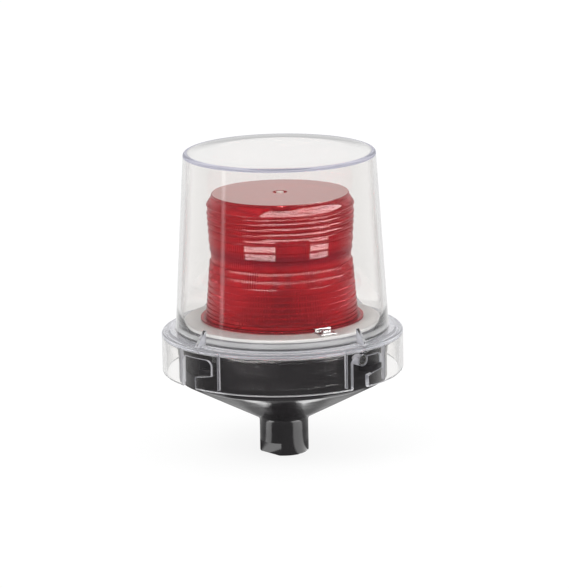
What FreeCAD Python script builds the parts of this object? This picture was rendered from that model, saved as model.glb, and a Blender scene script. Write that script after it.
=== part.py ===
"""Pipe-mounted strobe warning light with a clear bayonet dome over a red ring lens.

The origin is the centre of the hub's bottom face, +Z runs up the light's axis and -Y is the front.
An azimuth is counted from the front, positive towards +X. Millimetres and degrees.
"""
import FreeCAD, Part
import math
import os

import Sketcher

SIZES = {
    # housing: pipe hub, funnel and rim
    "hub_radius": 16.7, "hub_length": 24.0, "hub_chamfer": 1.2,
    "thread_radius": 9.13, "thread_length": 20.0, "passage_radius": 8.0,
    "flats_width": 25.4, "flats_rise": 8.75, "flats_azimuth": -48.0,
    "neck_spread": 3.6, "neck_rise": 2.4, "funnel_rise": 27.0, "funnel_wall": 4.5,
    "rim_radius": 71.2, "rim_rise": 28.6, "rim_wall": 4.0, "rim_step": 0.4, "rim_step_rise": 3.0,
    "ledge_width": 4.7, "ledge_thickness": 3.5,
    # bayonet: lugs on the rim, slots in the dome's skirt
    "lug_azimuth": 50.05, "lug_width": 10.6, "lug_height": 4.4, "lug_sink": 1.5,
    "slot_end_gap": 0.7, "slot_entry_gap": 1.4, "slot_run_width": 14.6, "slot_ceiling": 3.6,
    "slot_round": 4.2, "slot_end_round": 4.4, "ramp_height": 8.3, "ramp_rise": 2.6,
    "ramp_gap": 0.3,
    # clear dome
    "dome_rise": 125.5, "dome_draft": 7.2, "dome_wall": 3.0, "dome_crown_round": 4.0,
    "dome_foot_spread": 1.6, "dome_foot_inset": 1.2, "dome_foot_rise": 4.0,
    "skirt_gap": 8.3, "skirt_wall": 3.0, "skirt_drop": 25.3, "skirt_edge": 0.8,
    "flange_step": 0.9, "flange_land": 0.3, "flange_round": 1.6, "flange_thickness": 1.4,
    "rib_azimuth": 44.0, "rib_thickness": 2.6, "rib_rise": 9.5, "rib_reach": 8.2,
    "rib_foot": 0.6, "web_spread": 10.13, "web_entry_spread": 25.25, "web_thickness": 1.2,
    "web_depth": 2.0,
    # gasket and lock screw
    "gasket_thickness": 2.0, "gasket_width": 2.2,
    "lock_spread": 13.9, "lock_drop": 1.9, "lock_radius": 2.05, "lock_tip_radius": 1.3,
    "lock_tip_length": 2.0, "lock_gap": 0.3, "lock_hex": 1.25, "lock_hex_depth": 2.5,
    "insert_radius": 3.1, "insert_length": 6.2, "boss_radius": 4.4, "boss_reach": 4.0,
    "running_gap": 0.05,
    # mounting plate and the screws through its edge
    "plate_inset": 3.2, "plate_thickness": 2.0, "plate_rise": 12.0, "plate_wall": 2.0,
    "plate_overhang": 1.0, "plate_round": 0.8, "wire_hole_radius": 12.0,
    "clamp_azimuth": 28.3, "clamp_inset": 6.8, "clamp_shank_radius": 1.75,
    "clamp_head_radius": 3.4, "clamp_head_height": 2.4, "clamp_grip": 6.0,
    "boss_post_radius": 5.5, "boss_post_length": 12.0, "spacer_radius": 3.4, "screw_gap": 0.15,
    "clip_width": 12.0, "clip_thickness": 1.2, "clip_end": 4.0, "clip_lap": 2.0, "clip_gap": 0.5,
    "clip_land": 0.6, "clip_root_gap": 0.6,
    # red ring lens
    "seal_thickness": 0.5, "seal_width": 6.5, "lens_foot_thickness": 1.8, "lens_wall": 2.6,
    "lens_draft": 4.3, "lens_flare": 1.4, "lens_belt": 7.4, "ring_bulge": 1.0, "belt_bulge": 0.3,
    "ring_0": 5.4, "ring_1": 5.5, "ring_2": 4.9, "ring_3": 4.2, "ring_4": 3.8, "ring_5": 3.6, "ring_6": 3.5,
    "ring_7": 3.1, "ring_8": 2.7, "ring_9": 2.6,
    "collar_ring": 2.4, "shoulder_ring": 5.7, "shoulder_rise": 3.0, "shoulder_inset": 2.0,
    "lens_top_wall": 2.4,
    "gate_radius": 3.2, "gate_depth": 0.9, "gate_nub_radius": 1.3,
    # flash tube and its socket
    "socket_lip": 2.0, "socket_height": 10.0, "socket_flange": 7.0, "socket_foot_height": 3.0,
    "socket_screw_inset": 3.5, "plug_lip": 1.5, "plug_height": 8.0, "pin_radius": 1.2,
    "pin_length": 8.5, "pin_circle_radius": 9.0,
    "envelope_radius": 15.5, "envelope_wall": 1.2, "envelope_height": 50.0,
    "tube_radius": 3.0, "tube_half_span": 7.5, "tube_top_gap": 0.5, "cap_radius": 3.4,
    "cap_height": 6.0, "wire_radius": 0.6, "lead_radius": 0.9, "lead_circle_radius": 6.5,
    # circuit board and what it carries
    "board_edge_gap": 12.5, "board_thickness": 1.6, "board_gap": 16.4, "post_radius": 3.2,
    "post_inset": 10.0, "post_azimuth": 45.0, "small_shank_radius": 1.5,
    "small_head_radius": 2.9, "small_head_height": 1.9, "small_grip": 6.0,
    "capacitor_radius": 11.0, "capacitor_length": 25.0, "capacitor_place": 24.0,
    "capacitor_round": 0.95,
    "core_width": 26.0, "core_depth": 20.0, "core_height": 20.0, "core_place": 22.0,
    "core_side": 0.5, "core_yoke": 4.0, "winding_bore": 4.5,
    "coil_radius": 6.5, "coil_height": 13.0, "coil_place": 25.0,
    "sink_width": 22.0, "sink_height": 14.0, "sink_base": 2.0, "sink_fin": 1.2,
    "sink_fin_reach": 6.0, "sink_fins": 5, "sink_inset": 20.0,
    "transistor_width": 10.0, "transistor_height": 11.0, "transistor_thickness": 4.4,
    "terminal_width": 27.0, "terminal_depth": 10.0, "terminal_height": 11.0,
    "terminal_inset": 14.0, "terminal_spacing": 8.0,
    # earth screw inside the funnel
    "earth_place": 30.0, "earth_post_radius": 4.0, "earth_post_rise": 7.0,
}

doc = FreeCAD.newDocument("warning_light")
sheet = doc.addObject("Spreadsheet::Sheet", "Sizes")


class Dim:
    """A size with its present value and the expression that binds it to the sheet."""

    def __init__(self, value, text):
        self.value = value
        self.text = text

    @staticmethod
    def of(other):
        return other if isinstance(other, Dim) else Dim(float(other), f"({other})")

    def __add__(self, other):
        other = Dim.of(other)
        return Dim(self.value + other.value, f"({self.text} + {other.text})")

    def __sub__(self, other):
        other = Dim.of(other)
        return Dim(self.value - other.value, f"({self.text} - {other.text})")

    def __mul__(self, other):
        other = Dim.of(other)
        return Dim(self.value * other.value, f"({self.text} * {other.text})")

    def __truediv__(self, other):
        other = Dim.of(other)
        return Dim(self.value / other.value, f"({self.text} / {other.text})")

    def __neg__(self):
        return Dim(-self.value, f"(0 - {self.text})")

    __radd__ = __add__
    __rmul__ = __mul__


def sin(angle):
    return Dim(math.sin(math.radians(angle.value)), f"sin({angle.text})")


def cos(angle):
    return Dim(math.cos(math.radians(angle.value)), f"cos({angle.text})")


def fill_sheet():
    """Put every size on the sheet under its own alias, and return them as Dims by name."""
    sizes = {}
    for row, (name, value) in enumerate(SIZES.items(), start=1):
        sheet.set(f"A{row}", name)
        sheet.set(f"B{row}", str(value))
        sheet.setAlias(f"B{row}", name)
        sizes[name] = Dim(float(value), f"Sizes.{name}")
    doc.recompute()
    return sizes


S = fill_sheet()
ZERO = Dim(0.0, "0")
QUARTER_TURN = 90.0
HALF_TURN = 180.0
FULL_TURN = 360.0
DEGREES_PER_RADIAN = math.degrees(1.0)
HALF = 0.5
NEARLY_ZERO = 1e-6
CUT_MARGIN = 2.0      # how far a cutting tool runs past the face it opens
QUARTER_SAGITTA = 1.0 - math.sqrt(HALF)      # a quarter circle's sagitta over its radius


# ---------------------------------------------------------------- building blocks

def place(item, x=ZERO, y=ZERO, z=ZERO, turn=ZERO, tilt=0.0):
    """Put an object at a point, tilted about X (a quarter turn lays Z to the front), then turned."""
    rotation = f"rotationz({turn.text}) * rotationx({tilt})"
    x, y, z = Dim.of(x), Dim.of(y), Dim.of(z)
    item.setExpression("Placement", f"placement(vector({x.text}; {y.text}; {z.text}); {rotation})")
    return item


def place_polar(item, radius, azimuth, z, turn=ZERO, tilt=0.0):
    """Put an object at a radius and azimuth from the light's axis."""
    return place(item, radius * sin(azimuth), -(radius * cos(azimuth)), z, turn, tilt)


def arc_angle(length, radius):
    """The angle, in degrees, of an arc of some length on a circle."""
    return length / radius * DEGREES_PER_RADIAN


def arc_midpoint(start, end, bulge):
    """The middle of an arc that stands out by bulge to the right of the way from start to end."""
    dx, dy = end[0].value - start[0].value, end[1].value - start[1].value
    chord = math.hypot(dx, dy)
    return FreeCAD.Vector(start[0].value + dx * HALF + dy / chord * bulge.value,
                          start[1].value + dy * HALF - dx / chord * bulge.value, 0)


def arc_radius(start, end, bulge):
    """The radius of that arc, from its chord and its bulge."""
    dx, dy = end[0] - start[0], end[1] - start[1]
    size = bulge if bulge.value > 0 else -bulge
    return ((dx * dx + dy * dy) / 4 + size * size) / (size * 2)


def bind_distance(sketch, kind, vertex, size):
    """Hold one coordinate of a vertex at a size measured from the sketch's origin."""
    if abs(size.value) < NEARLY_ZERO:
        axis = -2 if kind == "DistanceX" else -1
        sketch.addConstraint(Sketcher.Constraint("PointOnObject", *vertex, axis))
        return
    ends = (-1, 1, *vertex) if size.value > 0 else (*vertex, -1, 1)
    size = size if size.value > 0 else -size
    index = sketch.addConstraint(Sketcher.Constraint(kind, *ends, size.value))
    sketch.setExpression(f"Constraints[{index}]", size.text)


def draw(sketch, outline):
    """Draw a closed outline of (x, y) corners; (x, y, bulge) reaches its corner by an arc."""
    corners = [(Dim.of(item[0]), Dim.of(item[1])) for item in outline]
    bulges = [item[2] if len(item) > 2 else None for item in outline]
    starts, ends = [], []
    for i, end in enumerate(corners):
        start = corners[i - 1]
        points = [FreeCAD.Vector(p[0].value, p[1].value, 0) for p in (start, end)]
        if bulges[i] is None:
            curve = Part.LineSegment(*points)
        else:
            ends_of_arc = points if bulges[i].value > 0 else points[::-1]
            curve = Part.Arc(ends_of_arc[0], arc_midpoint(start, end, bulges[i]), ends_of_arc[1])
        index = sketch.addGeometry(curve)
        forward = sketch.Geometry[index].StartPoint.distanceToPoint(points[0]) < NEARLY_ZERO
        starts.append((index, 1 if forward else 2))
        ends.append((index, 2 if forward else 1))
        if bulges[i] is not None:
            radius = arc_radius(start, end, bulges[i])
            constraint = sketch.addConstraint(Sketcher.Constraint("Radius", index, radius.value))
            sketch.setExpression(f"Constraints[{constraint}]", radius.text)
    for i, corner in enumerate(corners):
        following = starts[(i + 1) % len(corners)]
        sketch.addConstraint(Sketcher.Constraint("Coincident", *ends[i], *following))
        bind_distance(sketch, "DistanceX", ends[i], corner[0])
        bind_distance(sketch, "DistanceY", ends[i], corner[1])
    return sketch


def lathe(label, outline):
    """Turn an outline of (radius, height) corners about the Z axis, as a PartDesign body."""
    body = doc.addObject("PartDesign::Body", "Turned")
    body.Label = label
    sketch = body.newObject("Sketcher::SketchObject", "Outline")
    plane = next(f for f in body.Origin.OriginFeatures if f.Role == "XZ_Plane")
    sketch.AttachmentSupport = (plane, [""])
    sketch.MapMode = "FlatFace"
    draw(sketch, outline)
    turned = body.newObject("PartDesign::Revolution", "Turn")
    turned.Profile = sketch
    turned.ReferenceAxis = (sketch, ["V_Axis"])
    turned.Angle = FULL_TURN
    return body


def slab(label, outline, thickness, turn, out=ZERO, radial=False):
    """Extrude an upright outline of (sideways or radial, height) corners.

    A radial slab stands in the plane through the axis at the azimuth turn, and is thick to both
    sides of it. Any other slab faces outwards there, and runs from radius out to out + thickness.
    """
    sketch = doc.addObject("Sketcher::SketchObject", "Profile")
    draw(sketch, outline)
    if radial:
        place(sketch, turn=turn - QUARTER_TURN, tilt=QUARTER_TURN)
    else:
        place_polar(sketch, out, turn, ZERO, turn, tilt=QUARTER_TURN)
    solid = doc.addObject("Part::Extrusion", "Slab")
    solid.Label = label
    solid.Base = sketch
    solid.DirMode = "Normal"
    solid.Solid = True
    solid.setExpression("LengthFwd", (thickness * HALF if radial else thickness).text)
    solid.setExpression("LengthRev", (thickness * HALF if radial else ZERO).text)
    return solid


def rod(label, radius, height):
    """A plain cylinder on the Z axis."""
    solid = doc.addObject("Part::Cylinder", "Rod")
    solid.Label = label
    solid.setExpression("Radius", Dim.of(radius).text)
    solid.setExpression("Height", Dim.of(height).text)
    return solid


def block(label, width, depth, height):
    """A plain box from the origin into +X, +Y and +Z."""
    solid = doc.addObject("Part::Box", "Block")
    solid.Label = label
    for side, size in zip(("Length", "Width", "Height"), (width, depth, height)):
        solid.setExpression(side, Dim.of(size).text)
    return solid


def block_polar(label, width, depth, height, inner_radius, azimuth, z):
    """A box of that width, standing outwards from inner_radius by its depth at an azimuth."""
    solid = block(label, width, depth, height)
    x = inner_radius * sin(azimuth) - width * HALF * cos(azimuth)
    y = -(inner_radius * cos(azimuth)) - width * HALF * sin(azimuth)
    return place(solid, x + depth * sin(azimuth), y - depth * cos(azimuth), z, azimuth)


def joined(label, pieces):
    solid = doc.addObject("Part::MultiFuse", "Joined")
    solid.Label = label
    solid.Shapes = pieces
    return solid


def carved(label, base, tools):
    """Cut one tool or several out of a base."""
    solid = doc.addObject("Part::Cut", "Carved")
    solid.Label = label
    solid.Base = base
    solid.Tool = tools[0] if len(tools) == 1 else grouped(label + "_tools", tools)
    return solid


def grouped(label, pieces):
    """Several separate solids kept together."""
    group = doc.addObject("Part::Compound", "Group")
    group.Label = label
    group.Links = pieces
    return group


def around(count, first):
    """Evenly spaced azimuths, starting from the first."""
    return [first + k * FULL_TURN / count for k in range(count)]


def quarter(radius, side=1):
    """The bulge of a quarter circle."""
    return radius * (QUARTER_SAGITTA * side)


# ---------------------------------------------------------------- shared levels and radii

FOUR = 4      # lugs, slots, ribs and board posts stand in rings of four
PAIR = 2      # lens clips, their screws, spacers and posts stand opposite each other
neck_z = S["hub_length"] + S["neck_rise"]
neck_radius = S["hub_radius"] + S["neck_spread"]
rim_foot_z = neck_z + S["funnel_rise"]
rim_top = rim_foot_z + S["rim_rise"]
funnel_slope = S["funnel_rise"] / (S["rim_radius"] - neck_radius)
seat_z = rim_top + S["gasket_thickness"]          # underside of the dome's foot
rim_neck_radius = S["rim_radius"] - S["rim_step"]
ledge_radius = S["rim_radius"] - S["rim_wall"] - S["ledge_width"]
plate_top = rim_top + S["plate_rise"]
plate_low = plate_top - S["plate_thickness"]
skirt_inner = S["rim_radius"] + S["skirt_gap"]
skirt_radius = skirt_inner + S["skirt_wall"]
foot_radius = S["rim_radius"] + S["dome_foot_spread"]      # outside of the dome's wall at its foot
plate_radius = S["rim_radius"] - S["plate_inset"]
clamp_circle = plate_radius - S["clamp_inset"]
lens_foot_radius = (clamp_circle - S["clamp_head_radius"] - S["clip_land"] - S["clip_thickness"]
                    - S["clip_gap"])
root_low = lens_foot_radius - S["clip_lap"] - S["clip_root_gap"] - S["ring_bulge"]
root_belt = root_low - S["lens_draft"]
root_high = root_belt + S["lens_flare"]
lens_top_radius = root_high - S["shoulder_inset"]
board_radius = ledge_radius - S["board_edge_gap"]
post_circle = board_radius - S["post_inset"]
lock_azimuth = S["lug_azimuth"] - arc_angle(S["lock_spread"], skirt_radius)
skirt_bottom = seat_z - S["skirt_drop"]
foot_z = plate_top + S["seal_thickness"]          # underside of the lens
board_top = plate_low - S["board_gap"]
board_low = board_top - S["board_thickness"]
lug_travel = S["slot_run_width"] - S["slot_end_gap"] - S["lug_width"] * HALF   # along the ramp
ramp_slope = S["ramp_rise"] / S["slot_run_width"]


def funnel_floor(radius):
    """Height of the funnel's inner face at a radius."""
    return neck_z + (radius - neck_radius) * funnel_slope + S["funnel_wall"]


earth_top = funnel_floor(S["earth_place"]) + S["earth_post_rise"]


# ---------------------------------------------------------------- housing

def lug_outline():
    """A lug seen from outside: its lower face lies along the slot's ramp."""
    half = S["lug_width"] * HALF
    lean = half * ramp_slope
    low = skirt_bottom + S["ramp_height"] + lug_travel * ramp_slope + S["ramp_gap"]
    top = low + S["lug_height"]
    return [(-half, low - lean), (half, low + lean), (half, top), (-half, top)]


def base_housing():
    chamfer = S["hub_chamfer"]
    rim_inner = S["rim_radius"] - S["rim_wall"]
    ledge_low = rim_top - S["ledge_thickness"]
    outline = [
        (S["thread_radius"], ZERO), (S["hub_radius"] - chamfer, ZERO), (S["hub_radius"], chamfer),
        (S["hub_radius"], S["hub_length"]), (neck_radius, neck_z), (S["rim_radius"], rim_foot_z),
        (S["rim_radius"], rim_top - S["rim_step_rise"]),
        (rim_neck_radius, rim_top - S["rim_step_rise"] + S["rim_step"]),
        (rim_neck_radius, rim_top), (ledge_radius, rim_top), (ledge_radius, ledge_low),
        (rim_inner, ledge_low - S["ledge_width"] * HALF), (rim_inner, funnel_floor(rim_inner)),
        (S["passage_radius"], funnel_floor(S["passage_radius"])),
        (S["passage_radius"], S["thread_length"]), (S["thread_radius"], S["thread_length"]),
    ]
    parts = [lathe("housing_shell", outline)]
    for azimuth in around(FOUR, S["lug_azimuth"]):
        start = S["rim_radius"] - S["lug_sink"]
        reach = skirt_radius - S["ramp_gap"] - start
        parts.append(slab("lug", lug_outline(), reach, azimuth, out=start))
    for azimuth in around(PAIR, S["clamp_azimuth"]):
        post = rod("screw_post", S["boss_post_radius"], S["boss_post_length"])
        low = rim_top - S["boss_post_length"]
        parts.append(place_polar(post, clamp_circle, azimuth, low))
    earth_low = funnel_floor(S["earth_place"]) - S["funnel_wall"] * HALF
    earth_post = rod("earth_post", S["earth_post_radius"], earth_top - earth_low)
    parts.append(place(earth_post, y=S["earth_place"], z=earth_low))

    tools = []
    for azimuth in around(PAIR, S["clamp_azimuth"]):
        hole = rod("clamp_hole", S["clamp_shank_radius"], S["clamp_grip"] + CUT_MARGIN)
        tools.append(place_polar(hole, clamp_circle, azimuth, rim_top - S["clamp_grip"]))
    flat_depth = S["hub_radius"] - S["flats_width"] * HALF + CUT_MARGIN
    for azimuth in around(PAIR, S["flats_azimuth"]):
        flat = block_polar("wrench_flat", S["hub_radius"] * 2, flat_depth,
                           S["flats_rise"] + CUT_MARGIN, S["flats_width"] * HALF, azimuth,
                           ZERO - CUT_MARGIN)
        tools.append(flat)
    earth_hole = rod("earth_hole", S["small_shank_radius"], S["small_grip"] + CUT_MARGIN)
    tools.append(place(earth_hole, y=S["earth_place"], z=earth_top - S["small_grip"]))
    return carved("base_housing", joined("housing_body", parts), tools)


def dome_gasket():
    low = rim_top
    inner = rim_neck_radius - S["gasket_width"]
    return lathe("dome_gasket", [(inner, low), (rim_neck_radius, low),
                                 (rim_neck_radius, seat_z), (inner, seat_z)])


# ---------------------------------------------------------------- clear dome

def dome_outline():
    """Half section of the dome: crown, drafted wall, stepped flange and skirt."""
    top = seat_z + S["dome_rise"]
    foot_top = seat_z + S["dome_foot_rise"]
    wall, curve = S["dome_wall"], S["dome_crown_round"]
    foot = foot_radius
    crown = foot - S["dome_draft"]
    inner_curve = curve - wall * HALF
    step, lip, edge = S["flange_step"], S["flange_round"], S["skirt_edge"]
    width = (skirt_radius - lip - S["flange_land"] - foot) * HALF
    flange_top = foot_top - step * 2
    return [
        (ZERO, top), (ZERO, top - wall), (crown - wall - inner_curve, top - wall),
        (crown - wall, top - wall - inner_curve, -quarter(inner_curve)),
        (foot - wall, foot_top + wall), (foot - wall - S["dome_foot_inset"], foot_top),
        (foot - wall - S["dome_foot_inset"], seat_z),
        (skirt_inner - lip, seat_z), (skirt_inner, seat_z - lip, -quarter(lip)),
        (skirt_inner, skirt_bottom + edge), (skirt_inner + edge, skirt_bottom),
        (skirt_radius - edge, skirt_bottom), (skirt_radius, skirt_bottom + edge),
        (skirt_radius, flange_top - lip), (skirt_radius - lip, flange_top, quarter(lip)),
        (foot + width * 2, flange_top), (foot + width * 2, flange_top + step * HALF),
        (foot + width, foot_top - step), (foot + width, foot_top - step * HALF),
        (foot, foot_top), (crown, top - curve), (crown - curve, top, quarter(curve)),
    ]


def slot_outline():
    """An L-shaped bayonet slot seen from outside: entry at the left, closed end at the right."""
    low = skirt_bottom - CUT_MARGIN
    ceiling = seat_z - S["slot_ceiling"]
    ramp_foot = skirt_bottom + S["ramp_height"]
    entry = S["lug_width"] + S["slot_entry_gap"] * 2
    curve, end = S["slot_round"], S["slot_end_round"]
    entry_right, closed = -lug_travel, S["slot_run_width"] - lug_travel
    return [
        (entry_right, low), (entry_right, ramp_foot), (closed, ramp_foot + S["ramp_rise"]),
        (closed, ceiling - end), (closed - end, ceiling, quarter(end)),
        (entry_right - entry + curve, ceiling),
        (entry_right - entry, ceiling - curve, quarter(curve)), (entry_right - entry, low),
    ]


def lock_level():
    """Height of the lock screw's axis."""
    return seat_z - S["slot_ceiling"] - S["lock_drop"]


def lock_rod(label, radius, start, length):
    """A rod along the lock screw's own axis, from a distance off the light's axis outwards."""
    solid = rod(label, radius, length)
    return place_polar(solid, start, lock_azimuth, lock_level(), lock_azimuth, tilt=QUARTER_TURN)


def rib_outline():
    """A gusset between the dome's wall and its flange, as (radius, height) corners."""
    foot_top = seat_z + S["dome_foot_rise"]
    foot = foot_radius
    sunk = foot - S["dome_wall"] * HALF
    low = seat_z + S["flange_thickness"]
    return [(sunk, low), (foot + S["rib_reach"], low),
            (foot + S["rib_reach"], foot_top - S["rib_foot"]),
            (foot, foot_top + S["rib_rise"]), (sunk, foot_top + S["rib_rise"])]


def web_outline():
    """A low web down the skirt's inner face, as (radius, height) corners."""
    inner, sunk = skirt_inner - S["web_depth"], skirt_inner + S["skirt_wall"] * HALF
    low, high = skirt_bottom + S["skirt_edge"] * 2, seat_z + S["flange_thickness"]
    return [(inner, low), (sunk, low), (sunk, high), (inner, high)]


def outer_dome():
    parts = [lathe("dome_shell", dome_outline())]
    for azimuth in around(FOUR, S["rib_azimuth"]):
        parts.append(slab("rib", rib_outline(), S["rib_thickness"], azimuth, radial=True))
    for spread in (S["web_spread"], -S["web_entry_spread"]):
        for azimuth in around(FOUR, S["lug_azimuth"] + arc_angle(spread, skirt_inner)):
            parts.append(slab("web", web_outline(), S["web_thickness"], azimuth, radial=True))
    shell = joined("dome_ribbed", parts)

    depth = skirt_radius + CUT_MARGIN - S["rim_radius"]
    slots = [slab("slot", slot_outline(), depth, azimuth, out=S["rim_radius"])
             for azimuth in around(FOUR, S["lug_azimuth"])]
    slotted = carved("dome_slotted", shell, slots)

    boss_start = skirt_inner - S["boss_reach"]
    boss_length = skirt_radius - boss_start
    boss = lock_rod("lock_boss", S["boss_radius"], boss_start, boss_length)
    trimmed = doc.addObject("Part::Common", "Trimmed")
    trimmed.Label = "lock_boss_trimmed"
    trimmed.Base = boss
    trimmed.Tool = rod("skirt_envelope", skirt_radius, seat_z)
    bossed = joined("dome_bossed", [slotted, trimmed])
    hole = lock_rod("insert_hole", S["insert_radius"], boss_start - CUT_MARGIN,
                    boss_length + CUT_MARGIN * 2)
    return carved("outer_dome", bossed, [hole])


def lock_screw_insert():
    start = skirt_radius - S["insert_length"] - S["lock_gap"]
    sleeve = lock_rod("insert_sleeve", S["insert_radius"], start, S["insert_length"])
    bore = lock_rod("insert_bore", S["lock_radius"] + S["running_gap"], start - CUT_MARGIN,
                    S["insert_length"] + CUT_MARGIN * 2)
    return carved("lock_screw_insert", sleeve, [bore])


HEX_SIDES = 6


def lock_screw():
    """A socket set screw whose dog point stops just short of the rim."""
    start = S["rim_radius"] + S["lock_gap"]
    length = skirt_radius - S["lock_gap"] - start
    tip = lock_rod("lock_tip", S["lock_tip_radius"], start, S["lock_tip_length"])
    shank = lock_rod("lock_shank", S["lock_radius"], start + S["lock_tip_length"],
                     length - S["lock_tip_length"])
    socket = doc.addObject("Part::Prism", "Hex")
    socket.Label = "lock_hex"
    socket.Polygon = HEX_SIDES
    socket.setExpression("Circumradius", S["lock_hex"].text)
    socket.setExpression("Height", (S["lock_hex_depth"] + CUT_MARGIN).text)
    place_polar(socket, start + length - S["lock_hex_depth"], lock_azimuth, lock_level(),
                lock_azimuth, tilt=QUARTER_TURN)
    return carved("lock_screw", joined("lock_screw_body", [tip, shank]), [socket])


# ---------------------------------------------------------------- mounting plate

def clamp_column(label, radius, height, z):
    """Two equal rods on the circle of the clamp screws."""
    return [place_polar(rod(label, radius, height), clamp_circle, azimuth, z)
            for azimuth in around(PAIR, S["clamp_azimuth"])]


def post_column(label, radius, height, z):
    """Four equal rods on the circle of the board's posts."""
    return [place_polar(rod(label, radius, height), post_circle, azimuth, z)
            for azimuth in around(FOUR, S["post_azimuth"])]


def mounting_plate():
    radius, curve = plate_radius, S["plate_round"]
    wall_radius = radius - S["plate_overhang"]
    outline = [
        (S["wire_hole_radius"], plate_low), (wall_radius - S["plate_wall"], plate_low),
        (wall_radius - S["plate_wall"], rim_top), (wall_radius, rim_top),
        (wall_radius, plate_low - curve), (radius, plate_low), (radius, plate_top - curve),
        (radius - curve, plate_top, quarter(curve)), (S["wire_hole_radius"], plate_top),
    ]
    depth = S["plate_thickness"] + CUT_MARGIN * 2
    low = plate_low - CUT_MARGIN
    tools = clamp_column("clamp_clearance", S["clamp_shank_radius"] + S["screw_gap"], depth, low)
    tools += post_column("post_clearance", S["small_shank_radius"], depth, low)
    tools += [place_polar(rod("socket_screw_hole", S["small_shank_radius"], depth),
                          socket_screw_circle, azimuth, low)
              for azimuth in around(PAIR, ZERO)]
    return carved("mounting_plate", lathe("plate_pan", outline), tools)


def plate_spacers():
    height = plate_low - rim_top
    outer = clamp_column("spacer_outer", S["spacer_radius"], height, rim_top)
    bores = clamp_column("spacer_bore", S["clamp_shank_radius"] + S["screw_gap"],
                         height + CUT_MARGIN * 2, rim_top - CUT_MARGIN)
    return grouped("plate_spacers",
                   [carved("spacer", post, [bore]) for post, bore in zip(outer, bores)])


def clip_levels():
    """Heights of a clip's foot top and of its tongue's underside and top."""
    tongue_low = foot_z + S["lens_foot_thickness"]
    return plate_top + S["clip_thickness"], tongue_low, tongue_low + S["clip_thickness"]


def lens_clips():
    """Two plated Z-shaped clips that hold the lens's foot down on the plate."""
    foot_top, tongue_low, tongue_top = clip_levels()
    riser = lens_foot_radius + S["clip_gap"]
    end = clamp_circle + S["clip_end"]
    inner = lens_foot_radius - S["clip_lap"]
    outline = [
        (riser, plate_top), (end, plate_top), (end, foot_top), (riser + S["clip_thickness"], foot_top),
        (riser + S["clip_thickness"], tongue_top), (inner, tongue_top), (inner, tongue_low),
        (riser, tongue_low),
    ]
    bores = clamp_column("clip_bore", S["clamp_shank_radius"] + S["screw_gap"],
                         S["clip_thickness"] + CUT_MARGIN * 2, plate_top - CUT_MARGIN)
    clips = []
    for azimuth, bore in zip(around(PAIR, S["clamp_azimuth"]), bores):
        blank = slab("clip_blank", outline, S["clip_width"], azimuth, radial=True)
        clips.append(carved("clip", blank, [bore]))
    return grouped("lens_clips", clips)


SLOT_SHARE = 0.25     # width of a driver slot over the screw head's radius


def pan_screw(label, head_radius, head_height, shank_radius, shank_length):
    """A round-topped pan-head screw: the head's underside at z 0, the shank below it."""
    curve = head_height * HALF
    slot_width, slot_depth = head_radius * SLOT_SHARE, head_height * HALF
    outline = [
        (ZERO, -shank_length), (shank_radius, -shank_length), (shank_radius, ZERO),
        (head_radius, ZERO), (head_radius, head_height - curve),
        (head_radius - curve, head_height, quarter(curve)), (ZERO, head_height),
    ]
    slot = block("driver_slot", head_radius * 2 + CUT_MARGIN, slot_width, slot_depth + CUT_MARGIN)
    place(slot, -(head_radius + CUT_MARGIN * HALF), -(slot_width * HALF), head_height - slot_depth)
    return carved(label, lathe("screw_blank", outline), [slot])


def lens_screws():
    foot_top, _, _ = clip_levels()
    length = foot_top - rim_top + S["clamp_grip"]
    screws = []
    for azimuth in around(PAIR, S["clamp_azimuth"]):
        screw = pan_screw("lens_screw", S["clamp_head_radius"], S["clamp_head_height"],
                          S["clamp_shank_radius"], length)
        screws.append(place_polar(screw, clamp_circle, azimuth, foot_top, azimuth))
    return grouped("lens_screws", screws)


# ---------------------------------------------------------------- red ring lens

RINGS_BELOW, RINGS_ABOVE = 10, 6      # rings under and over the lens's belt


def lens_gasket():
    outer = lens_foot_radius - S["clip_lap"]
    inner = lens_foot_radius - S["seal_width"]
    return lathe("lens_gasket", [(inner, plate_top), (outer, plate_top), (outer, foot_z), (inner, foot_z)])


def ring_wall(start_radius, start_z, end_radius, heights):
    """Corners of a rising stack of rounded rings, each bulging outwards, above a start point."""
    total = sum(heights, ZERO)
    corners, z = [], start_z
    for height in heights:
        z = z + height
        share = (z - start_z) / total
        corners.append((start_radius + (end_radius - start_radius) * share, z, S["ring_bulge"]))
    return corners


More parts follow.
